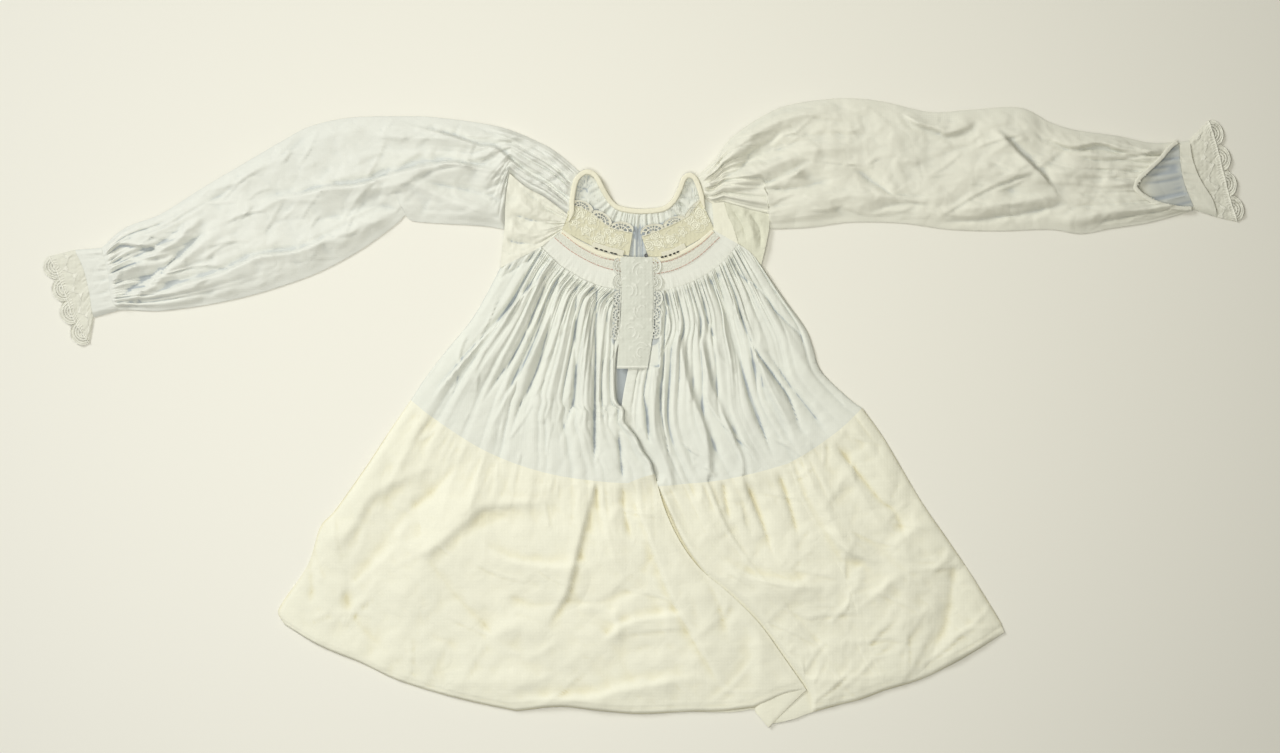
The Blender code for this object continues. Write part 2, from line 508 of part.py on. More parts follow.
def yoke():
    inner = {"left": YOKE_INNER_LEFT, "right": YOKE_INNER_RIGHT}
    outer = {"left": GATHER_LEFT, "right": GATHER_RIGHT}
    upper = {"left": RED_UPPER_LEFT, "right": RED_UPPER_RIGHT}
    lower = {"left": RED_LOWER_LEFT, "right": RED_LOWER_RIGHT}
    for side in ("left", "right"):
        ends = 0 if side == "left" else -1
        inner_line = smooth_path(inner[side], 16)
        outer_line = smooth_path(outer[side], 16)
        grid = draw_in(coons(inner_line, outer_line, smooth_path([inner_line[0], outer_line[0]], 1),
                             smooth_path([inner_line[-1], outer_line[-1]], 1)))
        sheet("yoke_" + side, "white_cotton", grid, flat_tops(grid, YOKE_TOP))
        inset = 1.2 if side == "left" else -1.2
        reds = []
        for line in (upper[side], lower[side]):
            points = smooth_path(line, 16)
            points[ends] += (inset, -0.6)
            reds.append(points)
        edge_line = inner_line + (0.0, -0.5)
        grid = draw_in(coons(edge_line, reds[0], smooth_path([edge_line[0], reds[0][0]], 1),
                             smooth_path([edge_line[-1], reds[0][-1]], 1)))
        top = YOKE_TRIM_BASE + TRIM_WALL
        sheet("yoke_piping_" + side, "cream_binding", grid, flat_tops(grid, top), TRIM_WALL)
        grid = draw_in(coons(reds[0], reds[1], smooth_path([reds[0][0], reds[1][0]], 1),
                             smooth_path([reds[0][-1], reds[1][-1]], 1)))
        sheet("insertion_" + side, "grey_lace", grid, flat_tops(grid, top), TRIM_WALL)


def scallops(base, count, low, high):
    """A strip that starts on a base line and ends in half-round scallops on its left-hand side."""
    line = np.array(base)
    ahead = np.gradient(line, axis=0)
    ahead /= np.linalg.norm(ahead, axis=1)[:, None]
    side = np.column_stack([-ahead[:, 1], ahead[:, 0]])
    share = np.linspace(0.0, count, len(line))
    bump = low + (high - low) * np.sqrt(np.abs(np.sin(np.pi * share)))
    return line + side * bump[:, None]


def lace_panels():
    low = {"left": LACE_FOOT_LEFT, "right": LACE_FOOT_RIGHT}
    top = {"left": LACE_TOP_LEFT, "right": LACE_TOP_RIGHT}
    for side in ("left", "right"):
        top_line = smooth_path(top[side], 12)
        foot = smooth_path(low[side], 12)
        grid = draw_in(coons(top_line, foot, smooth_path([top_line[0], foot[0]], 2),
                             smooth_path([top_line[-1], foot[-1]], 2)), 0.3)
        sheet("lace_panel_" + side, "net_lace", grid, flat_tops(grid, LACE_TOP), THIN_WALL)
        count = 5
        base = smooth_path(top[side], 8 * count)
        tips = scallops(base, count, 4.0, 13.0)
        rim = base + (tips - base) * 0.04
        grid = coons(tips, rim, smooth_path([tips[0], rim[0]], 1), smooth_path([tips[-1], rim[-1]], 1))
        sheet("lace_edging_" + side, "eyelet_edging", grid, flat_tops(grid, LACE_TOP + 0.2), TRIM_WALL)
    left = smooth_path([(-70, 233.5), (-50, 225), (-33, 220)], 6)
    right = smooth_path([(31, 218.5), (43, 222), (60, 231)], 6)
    for side, line in (("left", left), ("right", right)):
        band("openwork_tab_" + side, "openwork", line + (0, 2.0), 8.0, TAB_BASE, TAB_BASE + TRIM_WALL)


def jabot():
    left = smooth_path(JABOT_LEFT, 12)
    right = smooth_path(JABOT_RIGHT, 12)
    grid = coons(smooth_path([left[0], right[0]], 4), smooth_path([left[-1], right[-1]], 4), left, right)
    x = (grid[..., 0] - grid[..., 0].mean()) / 22.0
    tops = JABOT_BASE + TRIM_WALL + 0.6 * (1 - x * x).clip(0, 1)
    sheet("jabot", "white_lace", grid, tops, TRIM_WALL)
    top = JABOT_BASE + TRIM_WALL
    for side, path, off in (("left", JABOT_EDGE_LEFT, -0.4), ("right", JABOT_EDGE_RIGHT, 0.4)):
        line = smooth_path(path, 35)
        if side == "left":
            tips = scallops(line[::-1], 5, 5.0, 13.0)[::-1]
        else:
            tips = scallops(line, 5, 5.0, 14.0)
        rim = line + (off, 0.0)
        grid = coons(rim, tips, smooth_path([rim[0], tips[0]], 1), smooth_path([rim[-1], tips[-1]], 1))
        sheet("jabot_edging_" + side, "eyelet_edging", grid, flat_tops(grid, top), TRIM_WALL)


def shoulders():
    rows = 5
    grid = draw_in(coons(halved(smooth_path(SHOULDER_LEFT_TOP, 4)),
                         join(([(-113, 255), (-142, 232)], 3), (SHOULDER_FOOT_LEFT[::-1], 5)),
                         smooth_path([(-104, 277), (-113, 255)], rows),
                         join((SHOULDER_LEFT_SIDE, 3), (ARMPIT_LEFT, 2))))
    folds = [([(-125, 262), (-155, 280), (-180, 300)], 9, 3.0), ([(-140, 240), (-170, 250), (-190, 262)], 8, 2.2),
             ([(-118, 272), (-150, 296), (-178, 318)], 6, -2.0)]
    tops = front_tops(grid, folds, top=0, left=0, right=0, foot=0) - 0.6
    sheet("shoulder_left", "cream_cotton", grid, np.maximum(tops, EDGE_TOP))
    grid = draw_in(coons(smooth_path(SHOULDER_RIGHT_TOP[1:], 2), smooth_path([(99, 256), (134, 236)], 2),
                         smooth_path([(97, 293), (99, 275), (99, 256)], 4), smooth_path(GUSSET_INNER_RIGHT, 4)))
    sheet("shoulder_right", "cream_cotton", grid, flat_tops(grid, YOKE_TOP))
    grid = draw_in(coons(smooth_path(GUSSET_RIGHT_TOP, 4), smooth_path(GUSSET_FOOT_RIGHT, 4),
                         smooth_path(GUSSET_INNER_RIGHT, 4), join((GUSSET_RIGHT_SIDE, 1), (ARMPIT_RIGHT, 3))))
    folds = [([(130, 280), (150, 255), (160, 225)], 7, 2.0)]
    sheet("gusset_right", "cream_binding", grid, np.maximum(flat_tops(grid, 5.4) + fold_height(grid, folds), 3.8))


def sleeve_tops(grid, folds, inner_limit):
    rows, cols = grid.shape[:2]
    v = np.linspace(0.0, 1.0, rows)[:, None]
    puff = np.sqrt(np.clip(np.minimum(v, 1 - v) * 6.0, 0.0, 1.0))
    tops = 3.9 + 3.6 * puff + fold_height(grid, folds) * np.clip(puff + 0.2, 0, 1)
    tops = np.clip(tops, 3.9, 17.0)
    tops[:, 0] = np.minimum(tops[:, 0], inner_limit)
    tops[:, 1] = np.minimum(tops[:, 1], inner_limit + 1.5)
    tops[:, -1] = np.minimum(tops[:, -1], 8.0)
    return tops


def sleeves():
    rows = 12
    foot = join((SHOULDER_LEFT_TOP, 4), (SHOULDER_LEFT_SIDE, 3), (SLEEVE_LEFT_FOOT, 21))
    grid = draw_in(coons(smooth_path(SLEEVE_LEFT_TOP, 28), foot, smooth_path(NECK_LEFT, rows),
                         smooth_path(CUFF_LEFT_GATHER, rows)), TUBE_GAP)
    tube("sleeve_left", "white_cotton", grid, sleeve_tops(grid, FOLDS_SLEEVE_LEFT, 6.8))
    foot = join((SHOULDER_RIGHT_TOP, 2), (GUSSET_RIGHT_TOP, 2), (GUSSET_RIGHT_SIDE, 1), (SLEEVE_RIGHT_FOOT, 23))
    grid = draw_in(coons(smooth_path(SLEEVE_RIGHT_TOP, 28), foot, smooth_path(NECK_RIGHT, rows),
                         smooth_path(CUFF_RIGHT_GATHER, rows)), TUBE_GAP)
    sleeve = tube("sleeve_right", "white_cotton", grid, sleeve_tops(grid, FOLDS_SLEEVE_RIGHT, 6.8))
    open_slit(sleeve)


def open_slit(sleeve):
    """Cut the cuff slit through the top layer only, and lay its binding along the cut."""
    outline = smooth_path(SLEEVE_SLIT, 18)
    bm = bmesh.new()
    ring = [(x, y) for x, y in outline] + [(790, 288), (790, 377)]
    face = bm.faces.new([bm.verts.new((x * MM, y * MM, (WALL + 0.15) * MM)) for x, y in ring])
    made = bmesh.ops.extrude_face_region(bm, geom=[face])
    high = [item for item in made["geom"] if isinstance(item, bmesh.types.BMVert)]
    bmesh.ops.translate(bm, verts=high, vec=Vector((0, 0, 40 * MM)))
    cutter = finish("slit_cutter", "white_cotton", bm)
    cut = sleeve.modifiers.new("slit", "BOOLEAN")
    cut.operation = "DIFFERENCE"
    cut.solver = "EXACT"
    cut.object = cutter
    with bpy.context.temp_override(object=sleeve, active_object=sleeve):
        bpy.ops.object.modifier_apply(modifier="slit")
    bpy.data.objects.remove(cutter, do_unlink=True)


def cuffs():
    for side, gather, seam, tips in (("left", CUFF_LEFT_GATHER, CUFF_LEFT_SEAM, LACE_LEFT_TIPS),
                                     ("right", CUFF_RIGHT_GATHER, CUFF_RIGHT_SEAM, LACE_RIGHT_TIPS)):
        near = smooth_path(gather, 12)
        far = smooth_path(seam, 12)
        grid = draw_in(coons(smooth_path([near[0], far[0]], 2), smooth_path([near[-1], far[-1]], 2), near, far),
                       TUBE_GAP)
        tube("cuff_" + side, "white_cotton", grid, flat_tops(grid, 6.2), 1.4)
        near = halved(far)
        out = smooth_path(tips[1:-1], 24)
        if side == "left":
            out = scallops(out, 4, -6.0, 3.5)
        else:
            out = scallops(out[::-1], 4, -6.0, 3.5)[::-1]
        top = smooth_path([near[0], tips[0], out[0]], 3)
        foot = smooth_path([near[-1], tips[-1], out[-1]], 3)
        grid = draw_in(coons(top, foot, near, out))
        tube("cuff_lace_" + side, "cuff_lace", grid, flat_tops(grid, 4.6), 1.2)


def trims():
    path = smooth_path(BINDING_PATH, 64)
    y = path[:, 1]
    x = path[:, 0]
    back = np.clip((320 - y) / 30, 0, 1) * (np.abs(x + 6) < 62)
    low = 8.0 - 5.9 * back * back * (3 - 2 * back)
    band("neck_binding", "cream_binding", path, BINDING_WIDTH, low, low + 2.0)
    left = smooth_path([(-38, 92), (-41, 60), (-41, 18), (-29, -4), (-20, -26), (-8, -40)], 12)
    band("placket_left", "white_cotton", left, 6.0, 9.6, 10.6)
    right = smooth_path([(10, 98), (2, 60), (-8, 25), (-6, -3), (-4, -20)], 12)
    band("placket_right", "white_cotton", right, 6.0, 2.4, 3.6)
    slit = smooth_path([(744, 379), (722, 359), (707, 344), (694, 332), (685, 317), (699, 301), (722, 289),
                        (750, 284)], 22)
    band("sleeve_slit_binding", "white_cotton", slit, 5.0, 12.6, 13.8)
    bm = bmesh.new()
    bmesh.ops.create_cone(bm, cap_ends=True, segments=20, radius1=2.6 * MM, radius2=2.0 * MM, depth=1.6 * MM)
    bmesh.ops.translate(bm, verts=bm.verts[:], vec=Vector((4.5, 221.5, LACE_TOP + 1.2)) * MM)
    finish("press_stud", "dark_metal", bm)


def main():
    clear_scene()
    body_back()
    body_front()
    yoke()
    lace_panels()
    jabot()
    shoulders()
    sleeves()
    cuffs()
    trims()


main()
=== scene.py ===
"""Womens folk shirt laid flat, front side up: cloth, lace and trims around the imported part.

Plan data is in millimetres in the part's own frame: +X to the right cuff, +Y to the neck, +Z up.
"""

import math

import bmesh
import bpy
import numpy as np
from bpy.props import FloatProperty, FloatVectorProperty, PointerProperty
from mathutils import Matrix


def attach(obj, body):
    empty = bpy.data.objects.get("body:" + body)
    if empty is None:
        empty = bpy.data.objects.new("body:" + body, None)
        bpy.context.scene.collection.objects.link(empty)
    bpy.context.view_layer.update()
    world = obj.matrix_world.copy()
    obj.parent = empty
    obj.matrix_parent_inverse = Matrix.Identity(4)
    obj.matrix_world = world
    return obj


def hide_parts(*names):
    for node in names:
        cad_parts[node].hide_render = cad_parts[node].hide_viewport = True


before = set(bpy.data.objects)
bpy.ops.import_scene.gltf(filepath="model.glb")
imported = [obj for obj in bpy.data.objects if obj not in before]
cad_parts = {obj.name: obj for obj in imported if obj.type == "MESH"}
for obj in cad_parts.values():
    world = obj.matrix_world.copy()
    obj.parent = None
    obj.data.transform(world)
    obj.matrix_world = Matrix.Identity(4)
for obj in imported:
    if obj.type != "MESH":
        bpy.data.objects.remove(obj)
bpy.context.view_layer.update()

bl_info = {
    "name": "Folk shirt laid flat",
    "version": (1, 0, 0),
    "blender": (4, 5, 0),
    "location": "View3D > Sidebar > Folk shirt",
    "description": "Makes a gathered folk shirt with lace neck, jabot and lace cuffs, laid flat",
    "category": "Object",
}

MM = 0.001
SMOOTH_ANGLE = math.radians(62)
STUD_ANGLE = math.radians(35)
HASH_SCALE = 43758.5453
LACE_WALL = 0.4
EDGING_WALL = 0.35
HEM_WIDTH = 9.5
UNDERSIDE = 1.05
THREAD_WAVE = 0.31 / 6.283
STUD = {"radius": 2.6, "height": 1.4, "place": (5.0, 220.0, 8.2), "rim": 0.7, "dish": 0.5, "edge": 0.2}
FLOOR_HALF, FLOOR_DROP = 3.0, 0.0003
FLOOR_COLOUR = (0.80, 0.785, 0.705, 1.0)
AMBIENT_COLOUR = (1.0, 0.98, 0.90, 1.0)
SENSOR, VIEW_WIDTH, CAMERA_HEIGHT = 36.0, 1.792, 3.4
CAMERA_PLACE = (-0.0035, 0.051)

# Heights along the waist seam and the opening, noted by the fronts for the skirt and the right placket.
SEAM_HEIGHTS = {}

# ---------------------------------------------------------------- outlines shared by neighbouring pieces
SIDE_LEFT_UPPER = [(-199, 203), (-222, 159), (-241, 128), (-276, 85), (-303, 50), (-324, 18)]
SIDE_LEFT_LOWER = [(-324, 18), (-353, -24), (-388, -77), (-430, -136), (-451, -160), (-468, -212),
    (-502, -262)]
CORNER_LEFT = [(-502, -262), (-510, -279), (-500, -297)]
SIDE_RIGHT_UPPER = [(166, 207), (185, 179), (201, 156), (228, 118), (238, 92), (250, 58), (290, 19), (307, 7)]
SIDE_RIGHT_LOWER = [(307, 7), (339, -38), (388, -121), (423, -172), (451, -213), (479, -257), (501, -293)]
CORNER_RIGHT = [(501, -293), (506, -307)]
SEAM_LEFT = [(-324, 18), (-288, -10), (-227, -49), (-171, -73), (-115, -88), (-55, -96), (-20, -95)]
SEAM_FLAP = [(-20, -98), (-1, -90), (17, -85)]
SEAM_MIDDLE = [(20, -92), (60, -100), (108, -94), (164, -82), (205, -70)]
SEAM_RIGHT = [(205, -70), (240, -49), (278, -21), (307, 7)]
PANEL_SEAM = [(205, -70), (222, -122), (250, -172), (286, -238), (307, -304), (339, -388)]
HEM_LEFT = [(-500, -297), (-451, -326), (-395, -349), (-339, -375), (-255, -400), (-176, -417)]
HEM_MIDDLE = [(-176, -417), (-115, -411), (-59, -417), (-3, -421), (60, -418), (120, -419), (157, -414)]
HEM_PANEL = [(213, -428), (234, -420), (276, -408), (304, -401), (339, -388)]
HEM_GORE = [(339, -388), (388, -373), (430, -353), (472, -329), (506, -307)]
FLAP_EDGE = [(17, -85), (31, -134), (52, -179), (80, -217), (121, -252), (162, -293), (197, -341),
    (229, -387)]
GATHER_LEFT = [(-142, 232), (-115, 206), (-94, 193), (-73, 182), (-45, 174), (-10, 170)]
GATHER_RIGHT = [(-4, 170), (27, 171), (52, 177), (73, 185), (94, 197), (115, 214), (134, 236)]
SHOULDER_FOOT_LEFT = [(-199, 203), (-142, 232)]
GUSSET_FOOT_RIGHT = [(134, 236), (150, 225), (166, 207)]
LAP_EDGE = [(-10, 170), (-32, 150), (-38, 95), (-37, 23), (-26, 6), (-25, -11), (-18, -21), (-8, -34),
    (1, -53), (12, -68), (15, -78), (17, -85)]
UNDER_EDGE = [(-4, 170), (2, 120), (-12, 90), (-19, 63), (-28, 18), (-30, -15), (-24, -50), (-6, -103)]
SEAM_UNDER = [(-6, -103), (24, -102), (60, -99), (108, -94), (164, -82), (205, -70)]
YOKE_INNER_LEFT = [(-113, 255), (-87, 241), (-59, 228), (-31, 220), (-10, 218)]
YOKE_INNER_RIGHT = [(-4, 218), (31, 219), (52, 227), (73, 238), (99, 256)]
RED_UPPER_LEFT = [(-113, 252), (-87, 232), (-59, 218), (-31, 212), (-10, 210)]
RED_LOWER_LEFT = [(-123, 245), (-101, 227), (-73, 211), (-45, 201), (-10, 195)]
RED_UPPER_RIGHT = [(-4, 210), (29, 211), (52, 218), (80, 235), (99, 253)]
RED_LOWER_RIGHT = [(-4, 195), (22, 195), (52, 203), (80, 220), (108, 246)]
NECK_LEFT = [(-87, 337), (-96, 325), (-99, 309), (-101, 293), (-104, 277)]
NECK_RIGHT = [(76, 331), (82, 319), (85, 302)]
SHOULDER_LEFT_TOP = [(-104, 277), (-136, 301), (-162, 315), (-186, 335)]
SHOULDER_LEFT_SIDE = [(-186, 335), (-191, 300), (-193, 257)]
ARMPIT_LEFT = [(-193, 257), (-196, 230), (-199, 203)]
SHOULDER_RIGHT_TOP = [(85, 302), (97, 293), (114, 295)]
GUSSET_RIGHT_TOP = [(114, 295), (148, 285), (178, 278)]
GUSSET_RIGHT_SIDE = [(178, 278), (177, 257)]
ARMPIT_RIGHT = [(177, 257), (172, 232), (166, 207)]
GUSSET_INNER_RIGHT = [(114, 295), (119, 277), (127, 259), (134, 236)]
BINDING_PATH = [(-99, 279), (-98, 300), (-93, 324), (-83, 335), (-73, 336), (-64, 329), (-55, 312),
    (-44, 295), (-31, 286), (-3, 282), (28, 285), (43, 296), (52, 312), (58, 327), (65, 332), (73, 328),
    (80, 312), (84, 296)]
LACE_TOP_LEFT = [(-102, 290), (-90, 288), (-73, 280), (-45, 259), (-14, 251)]
LACE_TOP_RIGHT = [(-1, 246), (24, 255), (52, 268), (66, 277), (82, 298)]
LACE_FOOT_LEFT = [(-112.5, 256), (-87, 242), (-59, 229), (-19, 220)]
LACE_FOOT_RIGHT = [(8, 218.5), (31, 219.5), (52, 228), (73, 239), (100, 256)]
JABOT_LEFT = [(-30, 218), (-29, 186), (-30, 144), (-33, 102), (-36, 62)]
JABOT_RIGHT = [(13, 218), (15, 172), (14, 130), (13, 102), (7, 62)]
JABOT_EDGE_LEFT = [(-30, 217), (-29, 186), (-31, 144), (-33, 102)]
JABOT_EDGE_RIGHT = [(13, 217), (15.5, 172), (14.5, 130), (13.2, 104)]
SLEEVE_LEFT_TOP = [(-87, 337), (-115, 361), (-143, 378), (-199, 400), (-283, 413), (-339, 415), (-410, 413),
    (-465, 401), (-507, 379), (-563, 346), (-619, 313), (-675, 278), (-724, 259), (-757, 231)]
SLEEVE_LEFT_FOOT = [(-193, 257), (-227, 262), (-318, 268), (-331, 277), (-345, 264), (-395, 228), (-451, 198),
    (-507, 177), (-563, 161), (-619, 150), (-675, 143), (-712, 144), (-732, 144)]
CUFF_LEFT_GATHER = [(-757, 231), (-747, 195), (-743, 160), (-732, 144)]
CUFF_LEFT_SEAM = [(-794, 228), (-782, 203), (-774, 172), (-768, 134)]
SLEEVE_RIGHT_TOP = [(76, 331), (101, 355), (122, 383), (164, 413), (206, 431), (276, 440), (333, 436),
    (402, 421), (458, 424), (528, 427), (570, 407), (605, 396), (668, 387), (710, 378), (751, 379)]
SLEEVE_RIGHT_FOOT = [(177, 257), (234, 260), (290, 267), (360, 266), (430, 257), (500, 255), (570, 257),
    (612, 251), (654, 258), (710, 267), (773, 284)]
CUFF_RIGHT_GATHER = [(751, 379), (752, 350), (758, 320), (773, 284)]
CUFF_RIGHT_SEAM = [(765, 381), (769, 354), (780, 326), (797, 298), (804, 274)]
FLAP_FOOT = [(-176, -417), (-115, -411), (-59, -417), (-3, -421), (60, -418), (110, -417), (157, -412)]
FLAP_HEM = [(157, -412), (178, -403), (199, -394), (229, -387)]
FLAP_TIP = [(229, -387), (212, -403), (194, -421), (176, -440), (158, -418)]
UNDER_FLAP = [(-6, -103), (9, -136), (29, -180), (57, -220), (97, -256), (137, -297), (166, -345),
    (158, -418)]
LACE_LEFT_CORD = [(-830, 219), (-820, 200), (-811, 176), (-803, 154), (-793, 127), (-774, 98)]
LACE_RIGHT_CORD = [(792, 409), (804, 370), (813, 333), (822, 298), (832, 268)]
SLEEVE_SLIT = [(753, 377), (738, 371), (724, 354), (710, 340), (699, 329), (691, 316), (703, 305), (724, 294),
    (752, 289), (768, 288)]

# ---------------------------------------------------------------- folds: (kind, half width, height, path)
# A "ridge" is round on both sides and a "trough" is a sharp valley. A "lap" rises slowly on the left of its
# path and drops sharply on the right; an "edge" is a wide lap whose drop keeps one narrow width.
FRONT_LEFT_FOLDS = [
    ("lap", 9, 4.6, [(-132, 211), (-150, 179), (-171, 158), (-220, 105), (-262, 57), (-283, 32), (-297, 5)]),
    ("ridge", 12, 3.4, [(-134, 208), (-165, 140), (-205, 86), (-250, 35), (-272, 0)]),
    ("trough", 4, 2.4, [(-143, 225), (-185, 197), (-209, 182)]),
    ("trough", 4, 3.6, [(-136, 190), (-142, 162), (-171, 95), (-199, 53), (-230, 4)]),
    ("lap", 9, 3.2, [(-112, 196), (-128, 140), (-155, 80), (-190, 20), (-214, -30)]),
    ("trough", 4, 3.6, [(-118, 180), (-142, 78), (-157, 39), (-171, 11), (-192, -52)]),
    ("ridge", 10, 2.6, [(-104, 180), (-112, 100), (-128, 40), (-150, -40)]),
    ("trough", 3.6, 3.8, [(-92, 178), (-93, 157), (-94, 95), (-94, 28), (-101, 4), (-122, -52)]),
    ("ridge", 10, 4.4, [(-80, 176), (-80, 80), (-80, 0), (-84, -70)]),
    ("trough", 3, 2.0, [(-73, 168), (-73, 88), (-69, 39)]),
    ("trough", 3.6, 7.0, [(-64, 172), (-65, 141), (-66, 59), (-66.5, 28), (-67, -30), (-68, -94)]),
    ("trough", 3, 3.0, [(-50, 165), (-50, 95), (-57, 59), (-56, 4), (-45, -48)]),
    ("ridge", 6, 2.4, [(-58, 100), (-61, 50), (-60, 0), (-54, -50)]),
    ("trough", 3.4, 4.4, [(-33, -26), (-31, -57), (-27, -96)]),
]
FRONT_RIGHT_FOLDS = [
    ("trough", 3.6, 6.0, [(36, 172), (34, 150), (31, 114), (29, 60), (26, 32), (27, -4), (34, -40), (39, -80),
        (40, -102)]),
    ("lap", 13, 3.4, [(40, -100), (36, -60), (30, -10), (29, 44), (33, 114), (38, 168)]),
    ("trough", 3.2, 5.0, [(17, 130), (15, 110), (7, 59), (2, 28), (6, -3), (9, -45), (13, -70)]),
    ("ridge", 7, 2.6, [(22, 130), (17, 80), (14, 30), (17, -40), (24, -90)]),
    ("lap", 17, 4.6, [(92, -84), (92, -64), (86, -18), (68, 22), (56, 71), (48, 120), (46, 160)]),
    ("trough", 3, 2.6, [(50, 160), (51, 123), (51, 100)]),
    ("lap", 12, 3.6, [(140, -84), (138, -64), (120, -18), (99, 28), (83, 90), (71, 135), (66, 165)]),
    ("trough", 2.8, 3.4, [(84, 160), (90, 133), (104, 96)]),
    ("trough", 3.6, 6.6, [(97, 184), (110, 157), (129, 105), (144, 44), (160, -2), (178, -50), (186, -74)]),
    ("lap", 13, 4.0, [(112, 186), (128, 150), (152, 96), (176, 40), (205, -17), (222, -55)]),
    ("trough", 3.6, 4.6, [(128, 160), (140, 130), (157, 90), (185, 50), (206, 18), (226, -40)]),
    ("trough", 4, 2.4, [(97, 46), (101, 21), (115, -3), (129, -31), (139, -80)]),
    ("trough", 4, 3.6, [(128, 205), (136, 193), (164, 172), (185, 144), (206, 123), (220, 109), (234, 81)]),
    ("ridge", 11, 3.0, [(150, 190), (190, 120), (225, 70), (262, 20)]),
    ("trough", 5, 3.4, [(175, 85), (206, 39), (234, 4), (261, -35)]),
]
SKIRT_FOLDS = [
    ("edge", 30, 3.6, [(-146, -312), (-126, -279), (-109, -253), (-99, -216), (-87, -168), (-73, -115),
        (-66, -80), (-66, 10)]),
    ("trough", 6, 3.4, [(-27, -96), (-26, -136), (-14, -185)]),
    ("edge", 30, 3.0, [(-18, -93), (8, -164), (41, -252), (75, -313), (121, -392), (132, -412)]),
    ("trough", 11, 2.6, [(76, -208), (98, -250), (112, -290), (120, -330)]),
    ("ridge", 16, 2.2, [(140, -262), (160, -300), (164, -340), (160, -400)]),
    ("lap", 30, 2.6, [(-444, -189), (-423, -178), (-402, -150), (-381, -115), (-339, -91), (-276, -66)]),
    ("lap", 28, 3.0, [(-335, -185), (-304, -192), (-269, -167), (-241, -143), (-213, -127), (-101, -122)]),
    ("trough", 14, 2.6, [(-304, -199), (-283, -227), (-255, -262), (-227, -290), (-199, -318), (-171, -339)]),
    ("ridge", 20, 2.6, [(-283, -378), (-199, -374), (-115, -367)]),
    ("lap", 24, 3.0, [(80, -371), (52, -374), (-31, -388), (-73, -400), (-199, -405)]),
    ("trough", 14, 2.6, [(-116, -262), (-59, -265), (-20, -250), (40, -254)]),
    ("lap", 20, 2.4, [(64, -282), (3, -290), (-31, -301), (-60, -330)]),
    ("ridge", 7, 2.0, [(-38, -270), (-37, -295), (-34, -323)]),
    ("trough", 20, 2.6, [(-74, -372), (-16, -334), (30, -322)]),
    ("ridge", 12, 2.4, [(-352, -34), (-381, -77), (-402, -110), (-425, -146)]),
    ("trough", 11, 2.6, [(-454, -171), (-465, -213), (-463, -248), (-470, -279)]),
    ("ridge", 26, 2.4, [(-210, -90), (-260, -140), (-330, -250), (-380, -330)]),
    ("trough", 20, 2.4, [(-270, -80), (-330, -140), (-400, -230), (-440, -290)]),
    ("trough", 9, 2.0, [(-250, -60), (-292, -108), (-345, -150)]),
    ("lap", 22, 3.2, [(262, -246), (200, -240), (140, -228), (100, -200)]),
    ("trough", 5, 3.2, [(143, -94), (156, -122), (171, -164), (184, -206)]),
    ("trough", 5, 3.2, [(188, -80), (200, -110), (211, -148), (220, -183)]),
    ("ridge", 13, 2.4, [(70, -105), (96, -160), (130, -205)]),
    ("trough", 4, 2.6, [(112, -94), (117, -126), (123, -152)]),
    ("ridge", 16, 2.4, [(232, -367), (290, -377), (330, -381)]),
    ("trough", 14, 2.4, [(190, -260), (230, -300), (262, -350)]),
    ("trough", 16, 2.4, [(-420, -240), (-400, -290), (-350, -340)]),
    ("lap", 20, 2.4, [(-70, -210), (-130, -216), (-190, -206), (-236, -180)]),
    ("trough", 12, 2.2, [(-190, -255), (-150, -268), (-96, -262)]),
    ("ridge", 14, 2.2, [(-224, -318), (-170, -300), (-120, -318)]),
]
GORE_FOLDS = [
    ("trough", 7, 3.0, [(261, -35), (276, -52), (304, -87), (332, -122), (353, -139), (372, -190)]),
    ("ridge", 14, 3.0, [(222, -73), (248, -122), (276, -171), (300, -230)]),
    ("lap", 18, 2.6, [(256, -160), (290, -192), (332, -209)]),
    ("ridge", 14, 2.4, [(318, -262), (339, -241), (372, -220)]),
    ("trough", 13, 3.2, [(436, -200), (430, -262), (423, -297), (409, -325), (395, -350)]),
    ("ridge", 18, 2.6, [(360, -150), (372, -230), (360, -310), (345, -360)]),
]
